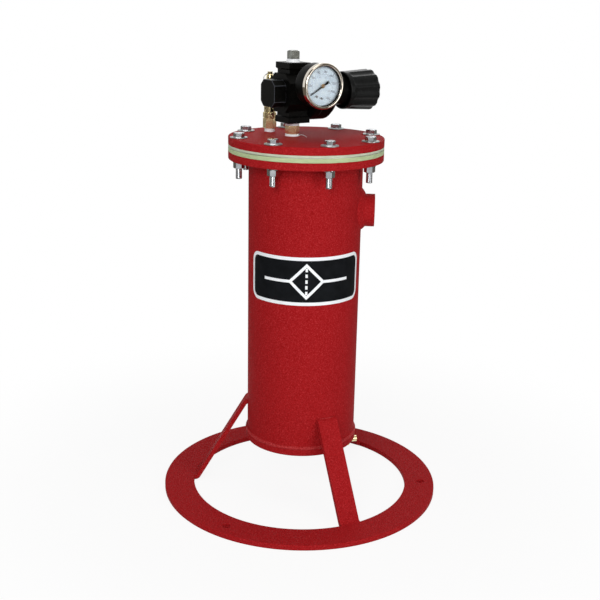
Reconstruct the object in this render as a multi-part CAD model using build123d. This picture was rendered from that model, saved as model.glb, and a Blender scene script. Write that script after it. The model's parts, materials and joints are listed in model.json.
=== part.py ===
from build123d import *
import math
import os

# Compressed air filter on a ring stand, with a regulator, gauge, relief valve and drain on it.
# Millimetres, +Z up, origin on the vessel's axis at floor level. The viewer stands at -Y.

os.makedirs("parts", exist_ok=True)

# Clearances
SEAT_GAP = 0.05  # round faces that are welded, screwed or pushed together
RUN_GAP = 0.06  # round faces that slide or turn in each other
LOOSE_GAP = 0.3  # soft filling inside its can
BOLT_GAP = 0.8  # bolt in its clearance hole
OVER = 1.0  # how far a cut runs past the face it opens, and a weld into what it is joined to

# Ring stand
RING_R = 215.5
RING_W = 46.25
RING_T = 7.94
RING_EDGE = 0.9
ANCHOR_IN = 21.0  # anchor holes in from the ring's outer edge
ANCHOR_HOLE_R = 5.95
ANCHOR_COUNT = 3
ANCHOR_AZ = -122.8
LEG_W = 31.75
LEG_T = 6.35
LEG_BEND_R = 7.5
LEG_STAND_OFF = 2.25  # middle of the bar at the upper bend, out from the pipe
LEG_TOP_Z = 139.3
LEG_STUB_TILT = 16.0
LEG_FOOT = 5.2  # from the lower bend to the ring's inner edge
LEG_AZ = {"leg_front": -62.8, "leg_rear": 57.2, "leg_left": 177.2}

# Vessel: six inch pipe with a bottom plate, a flange and an inlet
PIPE_R = 84.15
PIPE_WALL = 7.11
PIPE_LOW_Z = 93.5
FLANGE_LOW_Z = 522.5
FLANGE_OUT = 29.85  # flange's rim out from the pipe
FLANGE_T = 11.1
FLANGE_EDGE = 0.8
PIPE_RECESS = 3.2  # pipe's top end below the flange face
FLANGE_BEAD = 6.0
PLATE_OUT = 2.25  # bottom plate's rim out from the pipe
PLATE_T = 9.5
PLATE_EDGE = 0.8
PLATE_BEAD = 7.0  # height of the weld on the plate
INLET_AZ = -3.0
INLET_Z = 448.5
INLET_R = 24.15
INLET_BORE_R = 19.5
INLET_REACH = 19.35  # coupling's face out from the pipe
INLET_LIP = 1.2
INLET_BEAD = 6.5

# Bolted joint
BOLT_IN = 12.4  # bolts in from the flange's rim
BOLT_COUNT = 8
BOLT_AZ = 18.5
BOLT_R = 4.76
BOLT_LENGTH = 60.3
HEX_AF = 14.29
HEX_H = 6.1
HEX_FACE_STEP = 0.3  # turned face of a nut or head inside its flats
NUT_H = 8.4
WASHER_R = 12.7
WASHER_T = 1.6
LOCK_R = 8.65
LOCK_T = 2.4
LOCK_SLIT = 1.2
LOWER_GASKET_T = 6.35
UPPER_GASKET_T = 3.2
GASKET_BORE_IN = 4.15  # gasket's bore in from the pipe's face
LID_T = 11.1

# Replaceable cartridge, hung from its own flange between the two gaskets
CARTRIDGE_FLANGE_T = 0.8
CAN_R = 57.0
CAN_WALL = 1.2
CAN_LOW_Z = 150.0
CAN_LIP = 4.0
SCREEN_T = 1.0
SCREEN_HOLE_AF = 10.0
SCREEN_PITCH = 17.0
FELT_T = 8.0
CARBON_H = 165.0

# Nipple from the lid to the regulator
RISER_X = -21.0
RISER_Y = 3.0
PORT_THREAD_R = 8.6  # three eighths inch pipe thread over its crests
QUARTER_INCH_R = 6.85  # quarter inch pipe thread over its crests
THREAD_IN = 9.5  # length of thread inside a port
THREAD_SPARE = 3.0  # port's bore past the end of the thread in it
RISER_TAPE_H = 3.0
RISER_HEX_H = 12.5
RISER_NECK = 4.4
RISER_AF = 18.2
RISER_BORE_R = 6.0
TAPE_T = 0.35
TAPE_BULGE = 1.8  # tape squeezed out at the ports

# Regulator, along its own axis X from the port axis towards the knob
REG_TURN = 33.0
PORT_TO_PORT = 85.0
PORT_W = 36.0
PORT_D = 37.0
PORT_RIM = 8.0
NECK_STEP = 2.0
PORT_BORE_R = 7.0
CORE_AF = 55.0
CORE_CORNER = 13.0
CORE_LEFT = -22.0
CHAMBER_R = 13.0
CHAMBER_RIGHT = 3.0
SEAT_BORE_R = 5.0
DRUM_R = 40.0
DRUM_LEFT = 20.0
DRUM_RIGHT = 29.0
DRUM_FLOOR_T = 3.0
DIAPHRAGM_CHAMBER_R = 31.0
DIAPHRAGM_T = 1.5
PASSAGE_R = 3.5
PASSAGE_Z = 20.5
CAP_AF = 38.0
CAP_CORNER = 7.5
CAP_LEFT = -42.5
CAP_THREAD_H = 12.0
CAP_THREAD_WALL = 3.0
CAP_GUIDE_R = 3.0
CAP_GUIDE_H = 10.0
CAP_SEAL_T = 1.0
CAP_SEAL_W = 3.0
POPPET_R = 7.5
POPPET_T = 3.0
POPPET_TAIL = 6.0  # tail's length in the cap's guide
POPPET_STEM_R = 1.5
POPPET_SPRING_R = 5.7
POPPET_WIRE = 1.2
POPPET_TURNS = 4
PUSH_PLATE_R = 22.0
PUSH_PLATE_T = 3.0
PUSH_HUB_H = 6.0
CONTROL_SPRING_R = 12.0
CONTROL_WIRE = 3.0
CONTROL_TURNS = 4
BONNET_WALL = 3.0
BONNET_DRUM_RIGHT = 48.5
BONNET_SHOULDER_IN = 5.0
BONNET_SHOULDER_RUN = 6.5
BONNET_NECK_LEFT = 60.0
BONNET_NECK_R = 21.0
BONNET_FLARE = 3.0
BONNET_FLARE_RUN = 5.0
BONNET_RIGHT = 96.0
BONNET_TOP_T = 5.0
SCREW_R = 5.0
SCREW_LEFT = 62.0
SCREW_COLLAR_R = 9.0
SCREW_COLLAR_T = 3.0
SCREW_SHANK_OUT = 2.0  # round shank past the bonnet, before the hexagon
SCREW_RIGHT = 119.0
SCREW_HEX_AF = 9.0
SPRING_NUT_R = 16.5
SPRING_NUT_T = 5.0
SPRING_NUT_X = 77.0  # its far face when the knob is backed off
KNOB_LEFT = 85.0
KNOB_SKIRT_RIGHT = 101.0
KNOB_SKIRT_R = 27.5
KNOB_R = 30.3
KNOB_RIGHT = 137.0
KNOB_END = 3.5
KNOB_WALL = 2.0
KNOB_HUB_R = 9.0
KNOB_HUB_ROOM = 6.0  # hub's end past the bonnet's
KNOB_FLUTES = 12
FLUTE_DEPTH = 1.3
FLUTE_R = 16.0
KNOB_TOP_T = 5.0
PLUG_SQUARE = 12.9
PLUG_HEAD_H = 12.0
PLUG_CROWN_H = 1.5
PLUG_CROWN_IN = 3.0
PLUG_NECK_H = 4.5
PLUG_NECK_IN = 2.0  # neck's taper between the port and the head

# Gauge, along its own axis from the dial towards the viewer
GAUGE_REACH = 76.0  # bezel's face from the port axis
GAUGE_TURN = 18.0  # clockwise lean of the dial
GAUGE_DROP = 15.0  # stem below the dial's centre
GAUGE_DEPTH = 31.0
CASE_R = 30.6
CASE_WALL = 1.2
CASE_EDGE = 2.0
BEZEL_WALL = 1.3
BEZEL_COVER = 2.9  # bezel's rim over the window, in from the case's face
BEZEL_DEPTH = 8.0
BEZEL_LIP = 1.6
BEZEL_SLOPE = 1.2
BEZEL_EDGE = 1.5
LENS_T = 1.8
DIAL_T = 0.8
DIAL_BEHIND = 7.0  # dial's face behind the bezel's face
POINTER_Z = 2.2  # pointer above the dial
POINTER_T = 0.6
POINTER_SHORT = 4.7  # pointer's tip in from the window's edge
POINTER_TAIL = 11.4
POINTER_W = 1.5
POINTER_HUB_R = 2.2
POINTER_ZERO = 229.0  # angle of the pointer at zero pressure, on the dial
STEM_AF = 14.0
STEM_HEX_H = 9.0
STEM_NECK_R = 6.0
STEM_BLOCK_W = 12.0
STEM_BORE_R = 2.0
BOURDON_IN = 9.1  # curved tube in from the case's face
BOURDON_W = 3.0
BOURDON_H = 6.0
BOURDON_LIFT = 1.0  # curved tube above the case's floor, and block above the tube
BOURDON_GAP_FROM = 217.0
BOURDON_GAP_TO = 261.0
PINION_TEETH = 8
SECTOR_RATIO = 6
PITCH_R = 1.6
TOOTH_H = 0.9
TOOTH_FORM = ((-0.32, -1), (-0.12, 1), (0.12, 1), (0.32, -1))  # share of a tooth's step, root or tip
SECTOR_T = 1.0
SECTOR_SWEEP = 62.0
TO_PINION = 90.0  # direction from the sector's pivot to the pinion
POINTER_SWEEP = 270.0
ARBOR_R = 0.6
ARBOR_HOLE_GAP = 0.4
SECTOR_HUB_R = 1.6
MOVEMENT_T = 1.0
GEAR_GAP = 0.5

# Relief valve on the lid
RELIEF_X = -55.5
RELIEF_Y = 45.0
RELIEF_AF = 17.6
RELIEF_TAPE_H = 5.0
RELIEF_HEX_H = 15.5
RELIEF_TUBE_R = 8.6
RELIEF_COLLAR_R = 10.0
RELIEF_COLLAR_LOW = 21.2
RELIEF_COLLAR_H = 7.5
RELIEF_TUBE_H = 69.5
RELIEF_BORE_R = 6.4
RELIEF_SEAT_R = 3.0
RELIEF_VENT_R = 1.6
RELIEF_VENTS = 4
RELIEF_VENT_UP = 6.0
RELIEF_VENT_AZ = 45.0
RELIEF_CAP_R = 7.6
RELIEF_CAP_H = 7.0
RELIEF_CAP_IN = 8.0  # cap's thread inside the tube
RELIEF_DOME_H = 5.0
RELIEF_DOME_IN = 4.0
RELIEF_STEM_R = 1.6
RELIEF_DISC_R = 5.0
RELIEF_DISC_H = 4.0
RELIEF_COIL_R = 4.1
RELIEF_WIRE = 1.2
RELIEF_TURNS = 5
RELIEF_HEAD_R = 3.8
RELIEF_HEAD_H = 11.5
RING_WIRE_R = 0.8
RING_PULL_R = 11.2
RING_PULL_TILT = 52.0  # how far the pull ring hangs below level
RING_PULL_AZ = -75.0
RING_HOLE_R = 1.6
RING_HOLE_UP = 9.0  # pull ring's hole above the cap

# Drain under the vessel
DRAIN_AZ = 16.6
DRAIN_DROP = 20.0  # drain's axis below the bottom plate
DRAIN_PIPE_R = 6.85
DRAIN_BORE_R = 4.0
ELBOW_R = 9.5
ELBOW_REACH = 17.0
ELBOW_NECK = 2.0  # elbow's thread that shows under the plate
NIPPLE_END = 57.5
COCK_R = 9.0
COCK_END = 85.5
COCK_TAPER = 4.0
COCK_STEP = 0.5
SPOUT_R = 4.8
SPOUT_END = 94.5
KEY_X = 72.5
KEY_R = 4.6
KEY_HEAD_R = 5.6
KEY_HEAD_T = 2.0
HANDLE_L = 24.0
HANDLE_W = 4.0
HANDLE_T = 3.0

# Places that follow from the sizes above
RING_BORE_R = RING_R - RING_W
LEG_TOP_R = PIPE_R + LEG_STAND_OFF
PIPE_BORE_R = PIPE_R - PIPE_WALL
PLATE_R = PIPE_R + PLATE_OUT
INLET_FACE_X = PIPE_R + INLET_REACH
FLANGE_R = PIPE_R + FLANGE_OUT
GASKET_BORE_R = PIPE_R - GASKET_BORE_IN
CAN_BORE_R = CAN_R - CAN_WALL
FLANGE_TOP_Z = FLANGE_LOW_Z + FLANGE_T
CARTRIDGE_LOW_Z = FLANGE_TOP_Z + LOWER_GASKET_T
CARTRIDGE_TOP_Z = CARTRIDGE_LOW_Z + CARTRIDGE_FLANGE_T
LID_LOW_Z = CARTRIDGE_TOP_Z + UPPER_GASKET_T
LID_TOP_Z = LID_LOW_Z + LID_T
PLATE_LOW_Z = PIPE_LOW_Z - PLATE_T
DRAIN_Z = PLATE_LOW_Z - DRAIN_DROP
PORT_LOW_Z = LID_TOP_Z + RISER_TAPE_H + RISER_HEX_H + RISER_NECK
REG_Z = PORT_LOW_Z + PORT_TO_PORT / 2
CORE_HALF = CORE_AF / 2
DIAPHRAGM_TOP = DRUM_RIGHT + DIAPHRAGM_T
STEM_FACE = CORE_HALF - GAUGE_REACH
BEZEL_R = CASE_R + BEZEL_WALL
BEZEL_WINDOW_R = CASE_R - BEZEL_COVER
POINTER_L = BEZEL_WINDOW_R - POINTER_SHORT
BOURDON_R = CASE_R - BOURDON_IN
CASE_FLOOR = -GAUGE_DEPTH + CASE_WALL
MOVEMENT_LOW = CASE_FLOOR + BOURDON_H + 2 * BOURDON_LIFT
GEAR_LOW = MOVEMENT_LOW + MOVEMENT_T + GEAR_GAP
SECTOR_R = PITCH_R * SECTOR_RATIO
RELIEF_SEAT_Z = RELIEF_TAPE_H + RELIEF_HEX_H
RELIEF_TOP = RELIEF_TUBE_H + RELIEF_CAP_H

# Where the regulator, the gauge, the relief valve and the drain sit
REG = Pos(RISER_X, RISER_Y, REG_Z) * Rot(0, 0, REG_TURN)
LEAN = math.radians(GAUGE_TURN)
DIAL_RIGHT = Vector(math.cos(LEAN), 0, -math.sin(LEAN))
DIAL_UP = Vector(math.sin(LEAN), 0, math.cos(LEAN))
GAUGE = REG * Plane(
    origin=DIAL_UP * GAUGE_DROP + Vector(0, -GAUGE_REACH, 0),
    x_dir=DIAL_RIGHT,
    z_dir=(0, -1, 0),
).location
RELIEF = Pos(RELIEF_X, RELIEF_Y, LID_TOP_Z)
DRAIN = Rot(0, 0, DRAIN_AZ) * Pos(0, 0, DRAIN_Z)
ALONG_X = Rot(0, 90, 0)
BOTTOM = (Align.CENTER, Align.CENTER, Align.MIN)


def save(name, shape):
    """Write one named sub-part."""
    shape.label = name
    export_step(shape, os.path.join("parts", name + ".step"))


def turned(*outline):
    """Revolve a closed outline of (radius, height) corners about Z."""
    return revolve(Plane.XZ * make_face(Polyline(*outline, close=True)), Axis.Z)


def rod(radius, low, high):
    """Cylinder on Z between two heights."""
    return Pos(0, 0, low) * Cylinder(radius, high - low, align=BOTTOM)


def tube(radius, bore, low, high):
    """Hollow cylinder on Z between two heights."""
    return rod(radius, low, high) - rod(bore, low, high)


def hexagon(across_flats, low, high):
    """Hexagonal prism on Z between two heights."""
    section = RegularPolygon(across_flats / 2, 6, major_radius=False)
    return Pos(0, 0, low) * extrude(section, high - low)


def hex_nut(across_flats, low, high, top=True, bottom=False):
    """Hexagon with its corners turned off at one or both ends."""
    corner = across_flats / 2 / math.cos(math.pi / 6)
    run = (corner - across_flats / 2) * math.tan(math.pi / 6)
    face = across_flats / 2 - HEX_FACE_STEP
    outline = [(0, low), (face if bottom else corner + OVER, low)]
    if bottom:
        outline.append((corner, low + run))
    if top:
        outline.append((corner, high - run))
    outline += [(face if top else corner + OVER, high), (0, high)]
    return hexagon(across_flats, low, high) & turned(*outline)


def cut_corner_prism(width, corner, low, high):
    """Square prism on Z with its four corners cut at 45 degrees."""
    square = Rectangle(width, width)
    return Pos(0, 0, low) * extrude(chamfer(square.vertices(), corner), high - low)


def spots(radius, count, start):
    """Evenly spaced places on a circle about Z."""
    step = 360 / count
    return [Rot(0, 0, start + i * step) * Pos(radius, 0, 0) for i in range(count)]


def coil(radius, wire, low, high, turns):
    """Compression spring of square wire on Z, between two heights."""
    path = Helix((high - low - wire) / turns, high - low - wire, radius, center=(0, 0, low + wire / 2))
    section = Plane(origin=path @ 0, z_dir=path % 0) * Rectangle(wire, wire)
    return sweep(section, path=path, is_frenet=True)


def at_azimuth(angle, shape):
    """Turn a shape from +X to an azimuth about the vessel's axis."""
    return Rot(0, 0, angle) * shape


# Stand


def base_ring():
    outline = [
        (RING_BORE_R, 0),
        (RING_R, 0),
        (RING_R, RING_T - RING_EDGE),
        (RING_R - RING_EDGE, RING_T),
        (RING_BORE_R, RING_T),
    ]
    ring = turned(*outline)
    for spot in spots(RING_R - ANCHOR_IN, ANCHOR_COUNT, ANCHOR_AZ):
        ring -= spot * rod(ANCHOR_HOLE_R, -OVER, RING_T + OVER)
    return ring


def leg(azimuth):
    """Flat bar, bent twice: a short stub on the pipe, the slope, and a foot on the ring's inner edge."""
    tilt = math.radians(LEG_STUB_TILT)
    foot_z = RING_T - LEG_T / 2
    start = (PIPE_BORE_R, LEG_TOP_Z + (LEG_TOP_R - PIPE_BORE_R) * math.tan(tilt))
    bend = (RING_BORE_R - LEG_FOOT, foot_z)
    corners = [start, (LEG_TOP_R, LEG_TOP_Z), bend, (RING_BORE_R + LEG_T, foot_z)]
    path = Plane.XZ * FilletPolyline(*corners, radius=LEG_BEND_R)
    section = Plane(origin=path @ 0, x_dir=(0, 1, 0), z_dir=path % 0) * Rectangle(LEG_W, LEG_T)
    bar = sweep(section, path=path)
    bar -= rod(PIPE_R + SEAT_GAP, 0, FLANGE_LOW_Z)
    bar &= rod(RING_BORE_R - SEAT_GAP, 0, FLANGE_LOW_Z)
    return at_azimuth(azimuth, bar)


# Vessel


def vessel_shell():
    """Pipe, with the welds on the bottom plate and under the flange."""
    outline = [
        (PIPE_BORE_R, PIPE_LOW_Z),
        (PLATE_R, PIPE_LOW_Z),
        (PIPE_R, PIPE_LOW_Z + PLATE_BEAD),
        (PIPE_R, FLANGE_LOW_Z - FLANGE_BEAD),
        (PIPE_R + FLANGE_BEAD, FLANGE_LOW_Z),
        (PIPE_R, FLANGE_LOW_Z),
        (PIPE_R, FLANGE_TOP_Z - PIPE_RECESS),
        (PIPE_BORE_R, FLANGE_TOP_Z - PIPE_RECESS),
    ]
    hole = at_azimuth(INLET_AZ, Pos(0, 0, INLET_Z) * ALONG_X * rod(INLET_R + SEAT_GAP, 0, INLET_FACE_X))
    return turned(*outline) - hole


def bottom_plate():
    """Plate that closes the pipe's lower end."""
    outline = [
        (QUARTER_INCH_R + SEAT_GAP, PLATE_LOW_Z),
        (PLATE_R - PLATE_EDGE, PLATE_LOW_Z),
        (PLATE_R, PLATE_LOW_Z + PLATE_EDGE),
        (PLATE_R, PIPE_LOW_Z),
        (QUARTER_INCH_R + SEAT_GAP, PIPE_LOW_Z),
    ]
    return turned(*outline)


def inlet_coupling():
    """Half coupling through the pipe's wall, with its weld round the outside."""
    inside = math.sqrt(PIPE_BORE_R**2 - INLET_R**2)
    outline = [
        (INLET_BORE_R, inside),
        (INLET_R, inside),
        (INLET_R, INLET_FACE_X),
        (INLET_BORE_R + INLET_LIP, INLET_FACE_X),
        (INLET_BORE_R, INLET_FACE_X - INLET_LIP),
    ]
    bead_top = PIPE_R + INLET_BEAD
    bead_out = INLET_R + INLET_BEAD
    saddle = math.sqrt(PIPE_R**2 - bead_out**2)
    bead = turned(
        (INLET_R - OVER, saddle - INLET_BEAD),
        (bead_out, saddle - INLET_BEAD),
        (bead_out, saddle),
        (INLET_R, bead_top),
        (INLET_R - OVER, bead_top),
    )
    bead = ALONG_X * bead - rod(PIPE_R + SEAT_GAP, -FLANGE_R, FLANGE_R)
    return at_azimuth(INLET_AZ, Pos(0, 0, INLET_Z) * (ALONG_X * turned(*outline) + bead))


def bolt_holes(low, high):
    return [
        spot * rod(BOLT_R + BOLT_GAP, low - OVER, high + OVER)
        for spot in spots(FLANGE_R - BOLT_IN, BOLT_COUNT, BOLT_AZ)
    ]


def body_flange():
    outline = [
        (PIPE_R + SEAT_GAP, FLANGE_LOW_Z),
        (FLANGE_R - FLANGE_EDGE, FLANGE_LOW_Z),
        (FLANGE_R, FLANGE_LOW_Z + FLANGE_EDGE),
        (FLANGE_R, FLANGE_TOP_Z),
        (PIPE_R + SEAT_GAP, FLANGE_TOP_Z),
    ]
    return turned(*outline) - bolt_holes(FLANGE_LOW_Z, FLANGE_TOP_Z)


def gasket(low, high):
    return tube(FLANGE_R - RUN_GAP, GASKET_BORE_R, low, high) - bolt_holes(low, high)


def lid():
    outline = [
        (0, LID_LOW_Z),
        (FLANGE_R, LID_LOW_Z),
        (FLANGE_R, LID_TOP_Z - FLANGE_EDGE),
        (FLANGE_R - FLANGE_EDGE, LID_TOP_Z),
        (0, LID_TOP_Z),
    ]
    low = LID_LOW_Z - OVER
    high = LID_TOP_Z + OVER
    riser = Pos(RISER_X, RISER_Y, 0) * rod(PORT_THREAD_R + SEAT_GAP, low, high)
    relief = Pos(RELIEF_X, RELIEF_Y, 0) * rod(QUARTER_INCH_R + SEAT_GAP, low, high)
    return turned(*outline) - bolt_holes(LID_LOW_Z, LID_TOP_Z) - riser - relief


def at_bolts(shape):
    return Compound([spot * shape for spot in spots(FLANGE_R - BOLT_IN, BOLT_COUNT, BOLT_AZ)])


def lid_bolts():
    seat = LID_TOP_Z + WASHER_T
    return at_bolts(hex_nut(HEX_AF, seat, seat + HEX_H) + rod(BOLT_R, seat - BOLT_LENGTH, seat))


def lid_washers():
    return at_bolts(tube(WASHER_R, BOLT_R + SEAT_GAP, LID_TOP_Z, LID_TOP_Z + WASHER_T))


def lock_washers():
    """Spring washers, split on the side that faces out."""
    low = FLANGE_LOW_Z - LOCK_T
    split = Pos(LOCK_R, 0, low + LOCK_T / 2) * Box(LOCK_R, LOCK_SLIT, LOCK_T + OVER)
    return at_bolts(tube(LOCK_R, BOLT_R + SEAT_GAP, low, FLANGE_LOW_Z) - split)


def lid_nuts():
    high = FLANGE_LOW_Z - LOCK_T
    nut = hex_nut(HEX_AF, high - NUT_H, high, top=False, bottom=True)
    return at_bolts(nut - rod(BOLT_R + SEAT_GAP, high - NUT_H, high))


# Cartridge


def cartridge_flange():
    plate = tube(FLANGE_R - RUN_GAP, CAN_BORE_R, CARTRIDGE_LOW_Z, CARTRIDGE_TOP_Z)
    return plate - bolt_holes(CARTRIDGE_LOW_Z, CARTRIDGE_TOP_Z)


def cartridge_can():
    outline = [
        (CAN_BORE_R - CAN_LIP, CAN_LOW_Z),
        (CAN_R, CAN_LOW_Z),
        (CAN_R, CARTRIDGE_LOW_Z),
        (CAN_BORE_R, CARTRIDGE_LOW_Z),
        (CAN_BORE_R, CAN_LOW_Z + CAN_WALL),
        (CAN_BORE_R - CAN_LIP, CAN_LOW_Z + CAN_WALL),
    ]
    return turned(*outline)


def screen(low):
    """Perforated disc that holds the filling."""
    edge = CAN_BORE_R - LOOSE_GAP
    disc = rod(edge, low, low + SCREEN_T)
    across = round(2 * edge / SCREEN_PITCH)
    holes = HexLocations(SCREEN_PITCH / 2, across, across)
    within = [p for p in holes if p.position.length < edge - SCREEN_HOLE_AF]
    cutters = [p * hexagon(SCREEN_HOLE_AF, low - OVER, low + SCREEN_T + OVER) for p in within]
    return disc - cutters


def filling(low, high):
    return rod(CAN_BORE_R - LOOSE_GAP, low, high)


# Nipple, tapes and plug


def riser_nipple():
    hex_low = LID_TOP_Z + RISER_TAPE_H
    hex_high = hex_low + RISER_HEX_H
    body = hex_nut(RISER_AF, hex_low, hex_high, top=True, bottom=True)
    body += rod(PORT_THREAD_R, LID_TOP_Z - THREAD_IN, PORT_LOW_Z + THREAD_IN)
    body -= rod(RISER_BORE_R, LID_TOP_Z - THREAD_IN, PORT_LOW_Z + THREAD_IN)
    return Pos(RISER_X, RISER_Y, 0) * body


def thread_tape():
    """White sealing tape that shows at the four pipe threads on top."""
    band = PORT_THREAD_R + SEAT_GAP
    neck_low = LID_TOP_Z + RISER_TAPE_H + RISER_HEX_H
    top = PORT_LOW_Z + PORT_TO_PORT
    riser = Pos(RISER_X, RISER_Y, 0)
    neck = PORT_THREAD_R - PLUG_NECK_IN + 2 * SEAT_GAP
    cone = turned(
        (band, top),
        (band + TAPE_BULGE, top),
        (neck + TAPE_BULGE, top + PLUG_NECK_H),
        (neck, top + PLUG_NECK_H),
    )
    return Compound(
        [
            riser * tube(band + TAPE_BULGE, band, LID_TOP_Z, LID_TOP_Z + RISER_TAPE_H),
            riser * tube(band + TAPE_BULGE, band, neck_low, PORT_LOW_Z),
            riser * cone,
            RELIEF * tube(QUARTER_INCH_R + SEAT_GAP + TAPE_T, QUARTER_INCH_R + SEAT_GAP, 0, RELIEF_TAPE_H),
        ]
    )


def port_plug():
    """Square-headed pipe plug in the regulator's upper port."""
    top = PORT_LOW_Z + PORT_TO_PORT
    head_low = top + PLUG_NECK_H
    shank = turned(
        (0, top - THREAD_IN),
        (PORT_THREAD_R, top - THREAD_IN),
        (PORT_THREAD_R, top),
        (PORT_THREAD_R - PLUG_NECK_IN, head_low),
        (0, head_low),
    )
    head = extrude(Rectangle(PLUG_SQUARE, PLUG_SQUARE), PLUG_HEAD_H)
    corner = PLUG_SQUARE / math.sqrt(2)
    dome = turned(
        (0, 0),
        (corner, 0),
        (corner, PLUG_HEAD_H - PLUG_CROWN_H),
        (corner - PLUG_CROWN_IN, PLUG_HEAD_H),
        (0, PLUG_HEAD_H),
    )
    return Pos(RISER_X, RISER_Y, 0) * (shank + Pos(0, 0, head_low) * Rot(0, 0, REG_TURN) * (head & dome))


# Regulator


def port_tower():
    """Both port bosses: a rim at each end, stepping in to a narrower neck."""
    half = PORT_TO_PORT / 2
    neck_w = PORT_W - 2 * NECK_STEP
    neck_d = PORT_D - 2 * NECK_STEP
    tower = Box(neck_w, neck_d, PORT_TO_PORT)
    for side in (1, -1):
        rim = Pos(0, 0, side * (half - PORT_RIM / 2)) * Box(PORT_W, PORT_D, PORT_RIM)
        under = Plane(origin=(0, 0, side * (half - PORT_RIM)), z_dir=(0, 0, -side))
        tower += rim + extrude(under * Rectangle(PORT_W, PORT_D), NECK_STEP, taper=45)
    return tower


def regulator_body():
    half = PORT_TO_PORT / 2
    body = port_tower()
    body += ALONG_X * cut_corner_prism(CORE_AF, CORE_CORNER, CORE_LEFT, DRUM_LEFT)
    body += ALONG_X * turned(
        (0, DRUM_LEFT - NECK_STEP),
        (DRUM_R - NECK_STEP, DRUM_LEFT - NECK_STEP),
        (DRUM_R, DRUM_LEFT),
        (DRUM_R, DRUM_RIGHT),
        (0, DRUM_RIGHT),
    )
    port = half - THREAD_IN - THREAD_SPARE
    body -= ALONG_X * rod(CHAMBER_R, CORE_LEFT - OVER, CHAMBER_RIGHT)
    body -= ALONG_X * rod(SEAT_BORE_R, 0, DRUM_RIGHT)
    body -= ALONG_X * rod(DIAPHRAGM_CHAMBER_R, DRUM_LEFT + DRUM_FLOOR_T, DRUM_RIGHT + OVER)
    body -= rod(PORT_THREAD_R + SEAT_GAP, port, half + OVER)
    body -= rod(PORT_THREAD_R + SEAT_GAP, -half - OVER, -port)
    body -= rod(PORT_BORE_R, -half, 0)
    body -= rod(PORT_BORE_R, PASSAGE_Z, half)
    body -= Pos(0, 0, PASSAGE_Z + PASSAGE_R) * ALONG_X * rod(PASSAGE_R, 0, DRUM_RIGHT)
    stem_low = CORE_HALF - THREAD_IN - OVER
    stem = Rot(90, 0, 0) * rod(QUARTER_INCH_R + SEAT_GAP, stem_low, CORE_HALF + OVER)
    gauge_bleed = Pos(0, -stem_low - STEM_BORE_R, 0) * ALONG_X * rod(STEM_BORE_R, 0, DRUM_RIGHT)
    return REG * (body - stem - gauge_bleed)


def valve_cap():
    """Eight-sided cap that screws in behind the valve, with the guide for its tail."""
    head = cut_corner_prism(CAP_AF, CAP_CORNER, CAP_LEFT, CORE_LEFT - CAP_SEAL_T)
    head += rod(CHAMBER_R - SEAT_GAP, CORE_LEFT - CAP_SEAL_T, CORE_LEFT + CAP_THREAD_H)
    head -= rod(CHAMBER_R - CAP_THREAD_WALL, CORE_LEFT, CORE_LEFT + CAP_THREAD_H)
    head -= rod(CAP_GUIDE_R + RUN_GAP, CORE_LEFT - CAP_GUIDE_H, CORE_LEFT)
    return REG * ALONG_X * head


def cap_seal():
    return REG * ALONG_X * tube(CHAMBER_R + CAP_SEAL_W, CHAMBER_R, CORE_LEFT - CAP_SEAL_T, CORE_LEFT)


def valve_poppet():
    """Valve disc with a tail in the cap's guide and a stem through the seat to the diaphragm."""
    disc_left = CHAMBER_RIGHT - POPPET_T
    poppet = rod(POPPET_R, disc_left, CHAMBER_RIGHT)
    poppet += rod(CAP_GUIDE_R, CORE_LEFT - POPPET_TAIL, disc_left)
    poppet += rod(POPPET_STEM_R, CHAMBER_RIGHT, DRUM_RIGHT)
    return REG * ALONG_X * poppet


def poppet_spring():
    low = CORE_LEFT
    high = CHAMBER_RIGHT - POPPET_T
    return REG * ALONG_X * coil(POPPET_SPRING_R, POPPET_WIRE, low, high, POPPET_TURNS)


def diaphragm():
    """Rubber disc clamped between the body and the bonnet."""
    return REG * ALONG_X * rod(DRUM_R - LOOSE_GAP, DRUM_RIGHT, DIAPHRAGM_TOP)


def diaphragm_plate():
    plate = rod(PUSH_PLATE_R, DIAPHRAGM_TOP, DIAPHRAGM_TOP + PUSH_PLATE_T)
    plate += rod(CONTROL_SPRING_R - CONTROL_WIRE, DIAPHRAGM_TOP, DIAPHRAGM_TOP + PUSH_HUB_H)
    return REG * ALONG_X * plate


def bonnet():
    """Screwed-on bonnet: a drum over the diaphragm, a shoulder, and a neck under the knob."""
    inner = BONNET_NECK_R - BONNET_WALL
    outline = [
        (DIAPHRAGM_CHAMBER_R, DIAPHRAGM_TOP),
        (DRUM_R, DIAPHRAGM_TOP),
        (DRUM_R, BONNET_DRUM_RIGHT),
        (DRUM_R - BONNET_SHOULDER_IN, BONNET_DRUM_RIGHT + BONNET_SHOULDER_RUN),
        (BONNET_NECK_R + BONNET_FLARE, BONNET_NECK_LEFT),
        (BONNET_NECK_R, BONNET_NECK_LEFT + BONNET_FLARE_RUN),
        (BONNET_NECK_R, BONNET_RIGHT),
        (SCREW_R + RUN_GAP, BONNET_RIGHT),
        (SCREW_R + RUN_GAP, BONNET_RIGHT - BONNET_TOP_T),
        (inner, BONNET_RIGHT - BONNET_TOP_T),
        (inner, BONNET_NECK_LEFT),
        (DIAPHRAGM_CHAMBER_R, BONNET_DRUM_RIGHT),
    ]
    return REG * ALONG_X * turned(*outline)


def control_spring():
    low = DIAPHRAGM_TOP + PUSH_PLATE_T
    high = SPRING_NUT_X - SPRING_NUT_T
    return REG * ALONG_X * coil(CONTROL_SPRING_R, CONTROL_WIRE, low, high, CONTROL_TURNS)


def spring_nut():
    """Flanged nut that runs along the screw and loads the spring."""
    nut = rod(SPRING_NUT_R, SPRING_NUT_X - SPRING_NUT_T, SPRING_NUT_X)
    nut -= rod(SCREW_R + RUN_GAP, SPRING_NUT_X - SPRING_NUT_T, SPRING_NUT_X)
    return REG * ALONG_X * nut


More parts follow.
